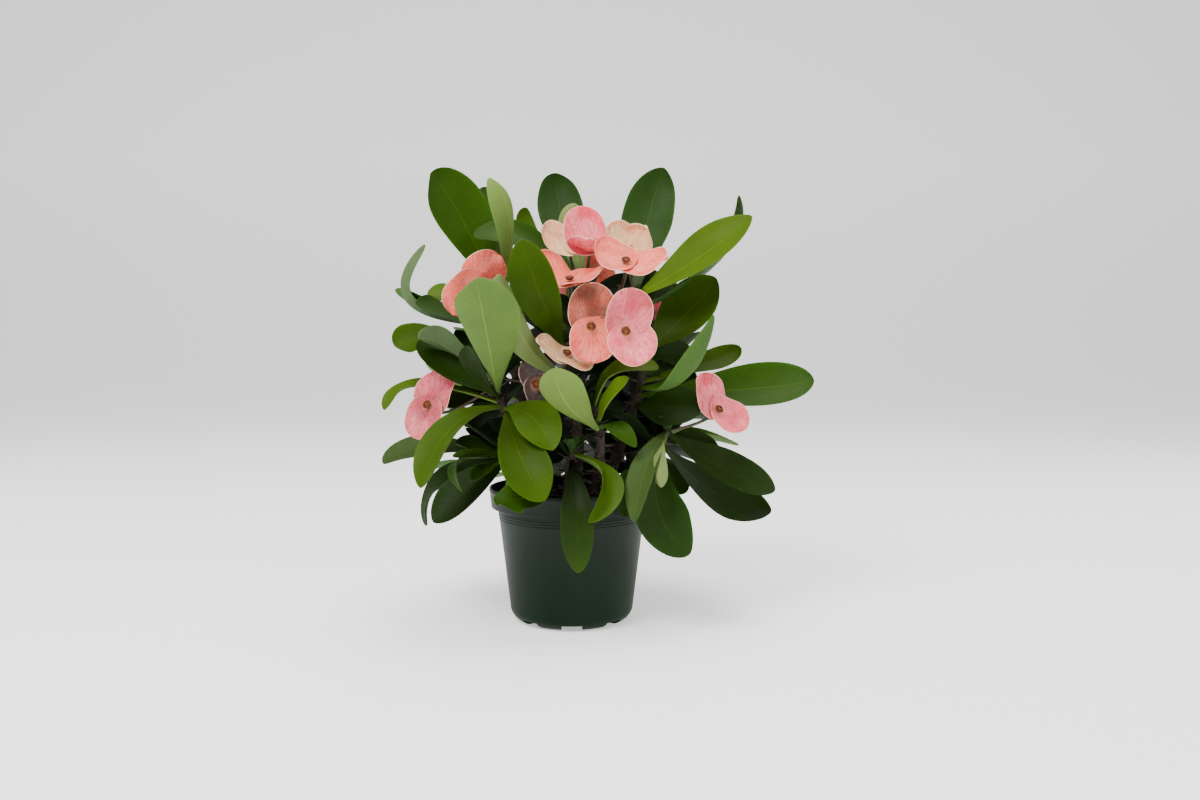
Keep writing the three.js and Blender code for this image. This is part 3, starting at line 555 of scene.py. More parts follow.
BLOOMS = [
    bloom((12, -60, 192), (-0.1, -1, 0.1), (0, -0.1, 1), (0.1, -0.15, -1), "salmon", "centre", 0.98),
    bloom((32, -66, 189), (0.1, -0.95, 0.2), (0.25, -0.1, 0.95), (0.55, -0.2, -0.8), "pink", "centre", 0.94),
    bloom(
        (-3, -51, 175), (0.2, -0.5, 0.9), (-0.9, -0.1, 0.5), (0.8, -0.2, -0.4), "cream", "centre", 0.9, 0.8,
    ),
    bloom((-1, -46, 220), (-0.05, -0.35, 0.93), (-0.7, 0.1, 0.72), (0.93, -0.3, 0.35), "salmon", "top", 0.96),
    bloom((33, -50, 231), (0, -0.62, 0.78), (0.85, -0.3, 0.1), (-0.78, 0.05, 0.58), "salmon", "top", 0.92),
    bloom(
        (38, -6, 241), (-0.1, -0.8, 0.6), (-0.6, -0.1, 0.9), (0.5, -0.2, 0.9), "cream", "right", 0.97, 0.85,
    ),
    bloom((12, -24, 243), (0.05, -0.75, 0.6), (-0.3, 0.1, 0.9), (-0.1, -0.9, 0.1), "pink", "top", 0.98),
    bloom((0, -6, 245), (0.1, -0.8, 0.6), (-0.8, -0.2, 0.5), (0.7, 0.2, 0.7), "cream", "top", 0.99, 0.85),
    bloom((-60, -24, 221), (-0.35, 0.8, 0.4), (-0.6, 0, -0.8), (0.7, 0, 0.7), "salmon", "upper_left", 0.99),
    bloom((-91, -20, 142), (-0.35, -0.75, 0.5), (0.35, 0.3, 0.85), (-0.3, -0.1, -0.95), "pink", "left", 0.92),
    bloom(
        (93, -24, 139), (0.5, -0.65, 0.55), (-0.35, 0.2, 0.9), (0.9, 0.1, -0.35), "pink", "low_right", 0.98,
    ),
    bloom((-22, -22, 156), (-0.2, -0.9, 0.1), (-0.3, 0, 0.9), (0.3, 0, -0.9), "pink", "left", 0.98, 0.65),
    bloom((-22, 62, 206), (-0.3, 0.75, 0.6), (0.6, 0.3, 0.75), (-0.8, 0.3, 0.2), "pink", "back_left", 0.98),
    bloom((18, 66, 234), (0.1, 0.8, 0.6), (0.2, -0.3, 0.9), (-0.1, 0.5, -0.8), "salmon", "back", 0.98),
    bloom((58, 48, 197), (0.5, 0.7, 0.5), (-0.4, 0.1, 0.9), (0.6, -0.3, -0.7), "pink", "back_right", 0.98),
    bloom((-60, 26, 146), (-0.8, 0.5, 0.35), (0, 0, 1), (0.5, 0.7, -0.3), "cream", "low_back_left", 0.98),
]

bark_material, tree, surface = new_material("bark")
patches = grain(tree, 70, detail=5, stretch=(1, 1, 0.5))
scars = grain(tree, 420, detail=4)
colour = patches.step(0.35, 0.68).mix((0.018, 0.012, 0.009, 1), (0.048, 0.037, 0.028, 1))
scars.step(0.55, 0.75).mix(colour, (0.085, 0.07, 0.054, 1)).to(surface, "Base Color")
settle(surface, Roughness=0.85, Specular_IOR_Level=0.15)
bump(scars + 0.5 * patches, 0.0008, 0.8).to(surface, "Normal")


def speckled(name, scale, dark, light, high=0.65, **settings):
    """A material that goes from a dark to a light colour in fine grains"""
    material, tree, surface = new_material(name)
    grain(tree, scale).step(0.4, high).mix((*dark, 1), (*light, 1)).to(surface, "Base Color")
    settle(surface, **settings)
    return material


spine_material = speckled("spine", 300, (0.02, 0.012, 0.009), (0.06, 0.04, 0.027), Roughness=0.5)
stalk_material = speckled(
    "flower_stalk", 120, (0.045, 0.05, 0.015), (0.09, 0.035, 0.02), high=0.62,
    Roughness=0.5, Subsurface_Weight=0.1, Subsurface_Radius=(0.002, 0.002, 0.001),
)

runs = {name: Run(points) for name, points in STEMS.items()}
for name, run in runs.items():
    phase = random.uniform(0, 6)
    stem_mesh = bmesh.new()
    rows = [run.at(k / (STEM_ROWS - 1)) for k in range(STEM_ROWS)]
    tube(stem_mesh, rows, lambda share, a: bark_reach(share, a, phase, run.length), STEM_SIDES)
    count = int(run.length / (SPINE_STEP * MM))
    thorns = []
    start = SPINE_START * MM / run.length
    for k in range(count):
        at = start + (SPINE_END - start) * k / count
        ahead = run.ahead(at)
        across = Vector((0, 1, 0)).cross(ahead).normalized()
        for aside in (-SPINE_SPLAY, SPINE_SPLAY):
            out = Quaternion(ahead, k * GOLDEN_TURN + aside) @ across
            length = SPINE_LENGTH * random.uniform(*SPINE_UNEVEN) * MM
            foot = run.at(at) + out * (stem_radius(at) - SPINE_SEAT * MM)
            thorns += spine(stem_mesh, foot, out, ahead, length)
    for face in thorns:
        face.material_index = 1
    for each in [flower for flower in BLOOMS if flower["shoot"] == name]:
        root = run.at(each["at"])
        end = each["middle"] - each["face"] * PEDICEL_LENGTH
        bend = end - each["face"] * ((end - root).length * STALK_BEND)
        path = [arc(root, bend, end, k / (STALK_ROWS - 1)) for k in range(STALK_ROWS)]
        path.append(each["middle"] - each["face"] * STALK_SEAT)
        for face in tube(stem_mesh, path, stalk_radius, STALK_SIDES):
            face.material_index = 2
    bmesh.ops.recalc_face_normals(stem_mesh, faces=stem_mesh.faces)
    stem = placed(f"stem_{name}", stem_mesh, [bark_material, spine_material, stalk_material])
    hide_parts(f"shoot_{name}")


# Leaves. Smooth fleshy paddles that sit straight on the stem, with no stalk of their own: a narrow foot
# that widens to a round end, a pale midrib and fine side veins, satin above and paler and matt below.
# Young ones stand in a tuft round the tip of each stem, and small ones grow deep in the crown, coloured dark
# as painted shade.
LEAF_THICKNESS = 1.2
LEAF_FOOT_WIDTH = 3.4
LEAF_SEAT = 1.2
LEAF_LOW_ROWS, LEAF_HIGH_ROWS = 20, 16
LEAF_WAVE = (0.5, 1.5)
LEAF_BLUNT = (0.54, 0.68)
LEAF_FULLER = 0.07
LEAF_WANDER = 0.05
LEAF_BRIGHTNESS = (0.88, 1.14)
LEAF_RIPPLES, LEAF_RIPPLE_OFFSET = 7, 1.6
LEAF_SWELL_POWER = 1.5
LEAF_FOOT_BODY, LEAF_FOOT_SHARE = 0.5, 0.25
BLADE_LEAST = 0.02 * MM
BLADE_FULL = 2 * MM
RIB_DEPTH = 0.5
RIB_SPREAD = 1.3
RIB_FADE = 0.8
RIB_SINK, RIB_SINK_SHARE = 1.35, 0.2
LEAF_ACROSS = 14
TEARS = 4.3
LEAF_PLAIN = {"peak": 0.64, "cup": 16, "twist": 0, "dim": 0, "torn": 0}


def leaf(at, via, tip, width, face, tone, **more):
    """A leaf that grows at a share of its stem, with points in mm halfway along its midrib and at its
    tip. face is where its upper side looks, peak where it is widest, cup and twist are degrees that its
    blade bends across and along it, dim is painted shade that darkens its foot, and torn cuts its
    edge ragged."""
    places = {"via": Vector(via), "tip": Vector(tip), "face": Vector(face)}
    return {**LEAF_PLAIN, "at": at, "width": width, "tone": tone, **places, **more}


# The leaves that are seen from the front, and last on a stem its small ones deep in the crown, coloured dark
# as painted shade
LEAVES = {}
LEAVES["upper_left"] = [
    leaf(0.98, (-71, 12, 263), (-91, 4, 292), 40, (0.25, -0.9, 0.35), "green", peak=0.58),
    leaf(0.99, (-54, 34, 255), (-60, 40, 288), 28, (0.3, -0.85, 0.3), "grey"),
    leaf(0.985, (-40, -22, 254), (-51, -28, 284), 22, (-0.85, 0.5, 0.2), "lime"),
    leaf(0.94, (-90, 10, 205), (-115, 6, 217), 24, (0.1, 0.3, 0.95), "green"),
    leaf(0.9, (-104, 0, 208), (-94, -4, 245), 17, (0.85, 0.4, 0.3), "grey"),
    leaf(0.84, (-78, -6, 200), (-99, -12, 209), 24, (-0.2, -0.5, 0.85), "blue", peak=0.72),
    leaf(0.96, (-77, 22, 212), (-97, 26, 215), 22, (0, -0.6, 0.8), "lime", peak=0.76),
]
LEAVES["left"] = [
    leaf(0.86, (-48, -78, 188), (-53, -96, 219), 39, (0.15, 0.85, 0.5), "fresh", peak=0.68),
    leaf(0.98, (-86, -4, 183), (-114, -8, 180), 24, (0.1, -0.75, 0.65), "fresh", peak=0.84),
    leaf(0.94, (-80, -22, 182), (-96, -28, 186), 22, (0, 0.5, 0.87), "grey"),
    leaf(0.84, (-72, -20, 165), (-98, -12, 183), 26, (-0.3, -0.5, 0.8), "deep"),
    leaf(0.82, (-59, -40, 166), (-65, -44, 180), 18, (-0.6, -0.7, 0.3), "deep"),
    leaf(0.9, (-79, 8, 162), (-96, 10, 170), 18, (0.3, 0.7, 0.6), "pale"),
    leaf(0.8, (-101, 4, 155), (-122, -2, 138), 13, (0.1, -0.35, 0.93), "lime"),
    leaf(0.78, (-74, -52, 131), (-90, -66, 96), 27, (-0.55, -0.75, 0.4), "fresh", dim=0.2),
    leaf(0.76, (-25, -46, 138), (-11, -62, 118), 28, (-0.1, -0.8, 0.6), "fresh", dim=0.2),
    leaf(0.74, (-31, -60, 115), (-16, -72, 89), 31, (0.1, -0.9, 0.4), "fresh", dim=0.55),
    leaf(0.96, (-62, -4, 173), (-76, 2, 190), 16, (0, -0.9, 0.4), "deep"),
    leaf(0.77, (-66, -6, 147), (-84, -2, 141), 16, (0, -0.8, 0.6), "deep"),
    leaf(0.72, (-56, -4, 137), (-70, 0, 127), 18, (0, -0.9, 0.4), "shade"),
]
LEAVES["low_left"] = [
    leaf(0.98, (-97, 8, 113), (-124, 4, 102), 22, (-0.2, -0.6, 0.8), "grey"),
    leaf(0.9, (-88, 6, 90), (-96, 2, 61), 20, (-0.9, -0.35, 0), "deep"),
    leaf(0.88, (-64, -16, 91), (-88, -24, 68), 29, (-0.4, -0.8, 0.4), "deep"),
    leaf(0.96, (-72, -30, 108), (-68, -36, 89), 10, (-0.85, -0.5, 0.2), "green"),
    leaf(0.94, (-59, -24, 112), (-75, -30, 111), 10, (0, -0.6, 0.8), "green"),
    leaf(0.92, (-53, -28, 104), (-63, -36, 96), 14, (-0.3, -0.5, 0.8), "green"),
    leaf(0.985, (-61, -4, 115), (-75, -10, 117), 16, (0, -0.5, 0.85), "deep"),
    leaf(0.6, (-28, -54, 90), (-47, -62, 89), 29, (0.1, -0.8, 0.6), "green", peak=0.5, torn=0.5),
]
LEAVES["centre"] = [
    leaf(0.98, (-17, -60, 206), (-30, -66, 243), 29, (-0.25, -0.9, 0.25), "fresh", peak=0.7, dim=0.35),
    leaf(0.8, (-29, -52, 183), (-43, -60, 223), 22, (-0.7, 0.65, 0.3), "pale", peak=0.8),
]
LEAVES["top"] = [
    leaf(0.98, (-27, 4, 249), (-64, 2, 251), 24, (0.15, -0.7, 0.7), "green"),
    leaf(0.99, (-7, 50, 271), (-10, 58, 300), 33, (0, -0.95, 0.2), "blue", peak=0.5),
    leaf(0.97, (-26, 30, 251), (-30, 34, 273), 14, (0.3, -0.9, 0.3), "fresh"),
    leaf(0.985, (2, 22, 252), (2, 24, 275), 22, (0, 0.9, 0.2), "pale"),
    leaf(0.93, (28, 22, 218), (44, 24, 222), 20, (0, -0.9, 0.3), "shade"),
    leaf(0.86, (-5, 16, 206), (-15, 16, 211), 14, (0, -0.9, 0.3), "shade"),
    leaf(0.62, (20, 24, 166), (39, 24, 157), 18, (0, -0.9, 0.4), "shade"),
    leaf(0.27, (-9, 18, 108), (-21, 20, 106), 15, (0, -0.9, 0.4), "shade"),
    leaf(0.18, (9, 18, 96), (19, 20, 91), 13, (0, -0.9, 0.4), "shade"),
]
LEAVES["right"] = [
    leaf(0.99, (79, -16, 236), (114, -22, 262), 33, (-0.3, -0.75, 0.6), "lime", peak=0.54),
    leaf(0.98, (53, 44, 267), (65, 52, 303), 37, (-0.1, -0.95, 0.2), "blue", peak=0.5),
    leaf(0.94, (100, 20, 241), (113, 26, 281), 26, (-0.95, -0.25, 0.25), "blue", peak=0.42),
    leaf(0.75, (73, 2, 199), (94, -4, 224), 38, (-0.3, -0.85, 0.45), "fresh", peak=0.58, dim=0.45),
    leaf(0.6, (68, -48, 163), (86, -52, 199), 27, (-0.6, 0.35, 0.75), "green", cup=24),
    leaf(0.52, (61, -22, 142), (83, -28, 143), 31, (0.05, -0.85, 0.5), "deep", peak=0.58),
    leaf(0.62, (93, 18, 169), (115, 22, 178), 18, (-0.1, -0.75, 0.65), "fresh"),
    leaf(0.56, (114, 4, 152), (160, 0, 157), 35, (-0.1, -0.85, 0.55), "green"),
    leaf(0.42, (46, 8, 131), (58, 12, 135), 16, (0, -0.9, 0.4), "shade"),
    leaf(0.95, (49, 14, 218), (57, 20, 230), 15, (0, -0.9, 0.3), "deep"),
    leaf(0.3, (50, 4, 116), (64, 8, 114), 16, (0, -0.9, 0.4), "shade"),
    leaf(0.92, (56, 10, 215), (70, 12, 224), 16, (0, -0.9, 0.3), "deep"),
    leaf(0.72, (64, 8, 175), (82, 12, 172), 19, (0, -0.9, 0.4), "deep"),
    leaf(0.66, (66, 10, 162), (84, 12, 156), 16, (0, -0.9, 0.4), "deep"),
]
LEAVES["low_right"] = [
    leaf(0.99, (45, -57, 108), (37, -67, 75), 22, (-0.5, -0.8, 0.2), "grey", twist=60),
    leaf(0.96, (53, -56, 110), (54, -66, 96), 15, (0.4, 0.8, 0.3), "pale", cup=40),
    leaf(0.9, (54, -44, 82), (73, -52, 53), 37, (0.3, -0.85, 0.4), "blue"),
    leaf(0.97, (96, -16, 103), (131, -20, 87), 28, (0.1, -0.8, 0.6), "deep"),
    leaf(0.86, (93, 0, 85), (133, 2, 70), 33, (0.1, -0.8, 0.6), "deep"),
    leaf(0.5, (35, -40, 95), (33, -46, 74), 16, (0.2, -0.9, 0.3), "deep"),
    leaf(0.85, (76, -6, 118), (97, -2, 112), 17, (0, -0.8, 0.6), "deep"),
    leaf(0.75, (66, -8, 95), (76, -4, 84), 17, (0, -0.8, 0.6), "deep"),
]
LEAVES["centre_front"] = [
    leaf(0.8, (-2, -66, 148), (-9, -78, 168), 30, (0.25, 0.85, 0.4), "lime"),
    leaf(0.99, (26, -47, 166), (53, -54, 167), 18, (-0.1, -0.6, 0.8), "lime"),
    leaf(0.86, (22, -55, 149), (34, -62, 162), 14, (-0.8, -0.5, 0.3), "lime"),
    leaf(0.82, (27, -49, 131), (39, -56, 119), 13, (0.2, -0.8, 0.6), "green"),
]
LEAVES["low_front"] = [
    leaf(0.98, (23, -62, 100), (10, -72, 76), 20, (0.6, -0.75, 0.2), "fresh", cup=38),
    leaf(0.9, (3, -66, 83), (4, -64, 44), 21, (0.05, -0.95, 0.3), "green", dim=1),
]
LEAVES["back_right"] = [
    leaf(0.38, (36, 22, 98), (46, 14, 101), 15, (0, -0.9, 0.4), "shade"),
]

# The fans of leaves on the back stems, then their low leaves: share, heading, climb and length
FANS = {
    "back_left": {"heading": 135, "spread": 80, "count": 8, "climb": (-8, 52)},
    "back": {"heading": 88, "spread": 70, "count": 8, "climb": (0, 54)},
    "back_right": {"heading": 42, "spread": 80, "count": 8, "climb": (-6, 50)},
    "low_back_left": {"heading": 160, "spread": 70, "count": 5, "climb": (-14, 30)},
}
LOW_LEAVES = {
    "back_left": [(0.4, 80, -25, 60), (0.3, 70, 35, 75)],
    "back": [(0.4, 80, -25, 75)],
    "back_right": [(0.3, 110, 35, 45), (0.5, 110, 50, 75), (0.5, 50, -25, 75), (0.5, 40, -10, 75)],
    "low_back_left": [(0.3, 140, 35, 75)],
}

# Leaf colours. shade is painted shade, near-black, for the leaves deep in the crown, and deep is a dark green
# that also stands in for the shade on leaves in shadow
TONES = {
    "shade": (0.003, 0.008, 0.0005),
    "deep": (0.009, 0.024, 0.0008),
    "green": (0.021, 0.054, 0.0006),
    "fresh": (0.04, 0.084, 0.001),
    "lime": (0.062, 0.118, 0.0015),
    "blue": (0.015, 0.039, 0.0036),
    "grey": (0.036, 0.066, 0.014),
    "pale": (0.072, 0.112, 0.013),
}

# Rules for the leaves of the back and the inside: for the lowest and the highest leaf of each kind, its
# share of the stem, its climb in degrees, and its length and width in mm, of which its arch takes a little
RULED_REACH = 0.96
FAN = {"at": (0.62, 0.98), "length": (82, 68), "width": (30, 25), "arch": 0.07}
TUFT = {"at": (0.975, 0.975), "climb": (35, 75), "length": (19, 11), "width": (8, 5), "arch": 0.07}
INNER = {"at": (0.3, 0.93), "climb": (4, 42), "length": (62, 44), "width": (25, 25), "arch": 0.08}
LOW_WIDTH, LOW_ARCH = 28, 0.07
TUFT_COUNT, INNER_COUNT = 5, 24
SHOOT_TURN = 77
SAME_TIP = 0.2 * MM


def ruled_leaf(run, at, heading, climb, length, width, arch, tone):
    """A leaf that leaves its stem on a heading, at a climb, both in degrees"""
    heading, climb = math.radians(heading), math.radians(climb)
    out = Vector((math.cos(heading), math.sin(heading), 0))
    ahead = out * math.cos(climb) + Vector((0, 0, math.sin(climb)))
    lift = out * -math.sin(climb) + Vector((0, 0, math.cos(climb)))
    root = run.at(at) / MM
    via = root + ahead * (length * 0.5) + lift * (length * arch)
    return leaf(at, via, root + ahead * (length * RULED_REACH), width, lift, tone)


def leaf_by(rule, run, height, heading, tone):
    """A leaf of a rule, at a height from 0 for its lowest to 1 for its highest"""
    pairs = (rule[key] for key in ("at", "climb", "length", "width"))
    at, climb, length, width = (low + (high - low) * height for low, high in pairs)
    return ruled_leaf(run, at, heading, climb, length, width, rule["arch"], tone)


def leaf_width(share, width, peak, blunt=0.55):
    """Width of a leaf in mm: it swells from its foot to its peak, then closes in a round end"""
    if share >= peak:
        return width * max(0, 1 - ((share - peak) / (1 - peak)) ** 2) ** blunt
    swell = math.sin(math.pi / 2 * share / peak) ** LEAF_SWELL_POWER
    return LEAF_FOOT_WIDTH + (width - LEAF_FOOT_WIDTH) * swell


def blade(mesh, arch, shares, across, half_at, face, cup, twist, body_at, lift_at, paint, skew_at):
    """A thin closed blade along an arch of three control points, all in metres. Its two faces meet in
    a fine edge. half_at gives half its width, body_at its half thickness for a share and a reach from
    -1 to 1, lift_at what bends it up, skew_at what moves its outline, and paint sets the attributes
    of each point."""
    root, pull, tip = arch
    uv = mesh.loops.layers.uv.verify()
    reaches = [math.sin(math.pi / 2 * (2 * j / across - 1)) for j in range(across + 1)]
    grid = {}
    for i, share in enumerate(shares):
        centre = arc(root, pull, tip, share)
        ahead = ((pull - root) * (1 - share) + (tip - pull) * share).normalized()
        upper = (face - ahead * face.dot(ahead)).normalized()
        upper = Quaternion(ahead, math.radians(twist * (share - 0.5))) @ upper
        side_way = upper.cross(ahead)
        half = max(half_at(share), BLADE_LEAST)
        for j, reach in enumerate(reaches):
            rise = math.sin(math.radians(cup)) * half * (reach * reach - 0.5) + lift_at(share, reach)
            body = body_at(share, reach) * min(1, half / BLADE_FULL)
            out = side_way * (half * reach * math.cos(math.radians(cup)))
            middle = centre + out * skew_at(share, reach) + upper * rise
            if 0 < j < across:
                grid[i, j, 0] = mesh.verts.new(middle + upper * body)
                grid[i, j, 1] = mesh.verts.new(middle - upper * body)
            else:
                grid[i, j, 0] = grid[i, j, 1] = mesh.verts.new(middle)
            for sheet in (0, 1):
                paint(grid[i, j, sheet], share, reach, half)
    for sheet in (0, 1):
        for i in range(len(shares) - 1):
            for j in range(across):
                corners = [(i, j), (i, j + 1), (i + 1, j + 1), (i + 1, j)]
                if sheet:
                    corners.reverse()
                made_face = mesh.faces.new([grid[a, b, sheet] for a, b in corners])
                made_face.material_index = sheet
                for loop, (a, b) in zip(made_face.loops, corners):
                    loop[uv].uv = (reaches[b] * 0.5 + 0.5, shares[a])
    for i, flip in ((0, False), (len(shares) - 1, True)):
        around = [grid[i, j, 0] for j in range(across + 1)]
        around += [grid[i, j, 1] for j in range(across - 1, 0, -1)]
        mesh.faces.new(around if flip else list(reversed(around)))


SIDE_VEINS, VEIN_SLANT, VEIN_CURVE, VEIN_WANDER = 15, 3.4, 1.2, 0.9
MIDRIB_FOOT, MIDRIB_TAPER = 0.075, 0.055
UNDER_GAIN = (2.0, 1.7, 2.0)
UNDER_TINT = (0.12, 0.16, 0.34)
VEIN_TINT = (0.002, 0.003, 0.002)
VEIN_GAIN = (2.0, 1.7, 1.6)


def leaf_surface(name, under):
    """The upper or the under skin of the leaves"""
    material, tree, surface = new_material(name)
    tone = Wire(tree).node("ShaderNodeAttribute", {"attribute_name": "tone"})
    place = Wire(tree).node("ShaderNodeUVMap")
    along = place.part(1)
    off = (place.part(0) - 0.5).math("ABSOLUTE") * 2
    wander = grain(tree, 140, detail=2)
    midrib = 1 - (off / (MIDRIB_FOOT - MIDRIB_TAPER * along)).step(0.5, 1.0)
    slant = along * SIDE_VEINS - off * (VEIN_SLANT - VEIN_CURVE * off) + wander * VEIN_WANDER
    vein = slant.lines(0.0, 0.16) * off.step(0.02, 0.1) * (1 - off.step(0.75, 0.97)) * along.step(0.1, 0.3)
    clouds = grain(tree, 55, detail=4)
    specks = grain(tree, 700, detail=2)
    colour = (clouds.step(0.3, 0.75) * 0.5).mix(tone, (0.66, 0.72, 0.55, 1), "MULTIPLY")
    multiply_add = {"operation": "MULTIPLY_ADD"}
    if under:
        tint = {"Vector": UNDER_TINT, "Scale": tone.part(1)}
        tint = tone.node("ShaderNodeVectorMath", {"operation": "SCALE"}, tint)
        paler = {"Vector": colour, "Vector_001": UNDER_GAIN, "Vector_002": tint}
        colour = colour.node("ShaderNodeVectorMath", multiply_add, paler)
        rib_share = vein * 0.2 + midrib * 0.5
        relief = midrib * 0.5 + vein * 0.28 + specks * 0.1
        roughness = 0.6 - 0.08 * specks
    else:
        foot = (1 - along.step(0.02, 0.3)) * 0.4
        rib_share = vein * 0.1 + midrib * 0.42 + foot
        relief = clouds * 0.5 - midrib * 0.35 - vein * 0.22 + specks * 0.1
        roughness = 0.46 + 0.12 * clouds - 0.06 * midrib
    brighter = {"Vector": colour, "Vector_001": VEIN_GAIN, "Vector_002": VEIN_TINT}
    ribs = colour.node("ShaderNodeVectorMath", multiply_add, brighter)
    rib_share.mix(colour, ribs).to(surface, "Base Color")
    roughness.to(surface, "Roughness")
    bump(relief, 0.0006, 0.55).to(surface, "Normal")
    settle(surface, Specular_IOR_Level=0.05 if under else 0.085, Subsurface_Weight=0.1)
    settle(surface, Subsurface_Radius=(0.0016, 0.003, 0.0006), Subsurface_Scale=1.0)
    return material


leaf_skins = [leaf_surface("leaf_upper", False), leaf_surface("leaf_under", True)]


def grow_leaf(mesh, tone_layer, run, each):
    """Adds one leaf to the foliage of its stem"""
    heart = run.at(each["at"])
    via, tip = each["via"] * MM, each["tip"] * MM
    root = heart.lerp(via, LEAF_SEAT * MM / (via - heart).length)
    pull = via * 2 - (root + tip) * 0.5
    peak, width = each["peak"], each["width"]
    shares = [peak * k / LEAF_LOW_ROWS for k in range(LEAF_LOW_ROWS)]
    turns = [math.pi / 2 * k / LEAF_HIGH_ROWS for k in range(LEAF_HIGH_ROWS + 1)]
    shares += [peak + (1 - peak) * math.sin(turn) for turn in turns]
    phase, wave = random.uniform(0, 6), random.uniform(*LEAF_WAVE) * MM
    blunt, fuller = random.uniform(*LEAF_BLUNT), random.uniform(-LEAF_FULLER, LEAF_FULLER)
    brightness = random.uniform(*LEAF_BRIGHTNESS)
    tone = [channel * brightness for channel in TONES[each["tone"]]]

    def rib_at(share, reach):
        off = reach * leaf_width(share, width, peak) / 2
        return RIB_DEPTH * (1 - RIB_FADE * share) * math.exp(-((off / RIB_SPREAD) ** 2))

    def body_at(share, reach):
        inward = 1 - reach * reach
        foot = LEAF_FOOT_BODY * max(0, 1 - share / LEAF_FOOT_SHARE)
        return (LEAF_THICKNESS / 2 * inward**0.5 + rib_at(share, reach) + foot * inward) * MM

    def lift_at(share, reach):
        fades = math.sin(math.pi * min(1, share)) * reach * reach
        offset = LEAF_RIPPLE_OFFSET * math.copysign(1, reach)
        ripple = wave * fades * math.sin(phase + LEAF_RIPPLES * share + offset)
        return ripple - rib_at(share, reach) * RIB_SINK * min(1, share / RIB_SINK_SHARE) * MM

    def skew_at(share, reach):
        """One half of the blade is a little fuller than the other, and its edge wanders"""
        wander = noise.noise(Vector((phase * 9, share * 3.2, math.copysign(2, reach))))
        swell = math.copysign(fuller, reach * fuller) * math.sin(math.pi * share)
        tear = each["torn"] * (share * TEARS % 1) * max(0, reach * share)
        return 1 + swell + LEAF_WANDER * wander * abs(reach) - tear

    def paint(vert, share, reach, half):
        # Painted shade: the leaf is darkened towards its foot
        lit = 1 - each["dim"] * (1 - share) ** 0.5
        vert[tone_layer] = (*[channel * lit for channel in tone], 1)

    blade(
        mesh, (root, pull, tip), shares, LEAF_ACROSS,
        lambda share: leaf_width(share, width, peak, blunt) / 2 * MM,
        each["face"], each["cup"], each["twist"], body_at, lift_at, paint, skew_at,
    )


for order, (name, run) in enumerate(runs.items()):
    leaf_mesh = bmesh.new()
    tone_layer = leaf_mesh.verts.layers.float_color.new("tone")
    growing = []
    fan = FANS.get(name, {"count": 0})
    for k in range(fan["count"]):
        heading = fan["heading"] + fan["spread"] * ((k * GOLDEN_DEGREES % 360) / 360 - 0.5)
        tone = random.choice(("deep", "green", "blue", "green", "fresh"))
        growing.append(leaf_by({**FAN, **fan}, run, k / (fan["count"] - 1), heading, tone))
    # The low leaves of the back stems are coloured near-black as painted shade
    growing += [ruled_leaf(run, *place, LOW_WIDTH, LOW_ARCH, "shade") for place in LOW_LEAVES.get(name, [])]
    growing += LEAVES.get(name, [])
    headings = [k * GOLDEN_DEGREES + order * SHOOT_TURN for k in range(INNER_COUNT)]
    for k, heading in enumerate(headings[:TUFT_COUNT]):
        growing.append(leaf_by(TUFT, run, k / (TUFT_COUNT - 1), heading, "deep"))
    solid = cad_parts[f"shoot_{name}"].data
    skin = BVHTree.FromPolygons([v.co for v in solid.vertices], [f.vertices for f in solid.polygons])
    for k, heading in enumerate(headings):
        # Inner leaves are coloured near-black and dark green: painted shade inside the crown
        tone = random.choice(("shade", "shade", "deep"))
        inner = leaf_by(INNER, run, (k + 0.5) / INNER_COUNT, heading, tone)
        if skin.find_nearest(inner["tip"] * MM)[3] < SAME_TIP:
            growing.append(inner)
    for each in growing:
        grow_leaf(leaf_mesh, tone_layer, run, each)
    foliage = placed(f"leaves_{name}", sealed(leaf_mesh), leaf_skins, 75)
    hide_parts(f"shoot_{name}")


# Bracts. Each bloom's two showy bracts: thin soft round lobes, pink, salmon or cream, that overlap
# behind the little cup in their middle, with fine veins fanning out to a pale edge.
BRACT_THICKNESS = 1.0
BRACT_LENGTHS = (26, 22)
BRACT_WIDTH = 28.5
BRACT_LAP = 6
BRACT_BEHIND = 1.6
BRACT_CUP = 9
BRACT_ROWS = 30
BRACT_ACROSS = 26
BRACT_WAVE = (0.8, 1.5)
BRACT_RIPPLES, BRACT_RIPPLE_TURN = 7, 3.4
BRACT_BEND_AT = 0.45
EYE_SPREAD = 0.25
BRACT_WANDER = 0.07
CREASE_DEPTH, CREASE_SPREAD = 0.8, 0.14
PUCKER = 0.3
BRACT_COLOURS = {
    "pink": {"base": (0.93, 0.14, 0.2), "blush": (0.74, 0.035, 0.06), "pale": (0.95, 0.3, 0.32)},
    "salmon": {"base": (0.9, 0.16, 0.11), "blush": (0.76, 0.04, 0.025), "pale": (0.94, 0.27, 0.2)},
    "cream": {"base": (0.88, 0.47, 0.24), "blush": (0.8, 0.24, 0.12), "pale": (0.93, 0.7, 0.42)},
}
FAN_VEINS, FINE_VEINS = 5.5, 13
RIM_TINT = (0.9, 0.6, 0.42, 1)
THROAT_TINT = (0.8, 0.34, 0.2, 1)
# Colour that painted shadow multiplies into a bract
SHADOW_TINT = (0.08, 0.3, 0.22, 1)
# Colour that soft patches of painted shade multiply into a bract
SOFT_SHADE_TINT = (0.45, 0.6, 0.56, 1)
# Painted shadow on the two bracts of a bloom, by the bloom's number: how far each is darkened where leaves
# and other blooms shade it
SHADED_BRACTS = {1: (0.95, 0.05), 2: (0.42, 0), 3: (0.45, 0.2), 10: (0.42, 0.5), 11: (0.25, 0), 12: (2, 2)}
BRACT_LAYERS = ("spoke", "eye", "edge", "painted_shadow")


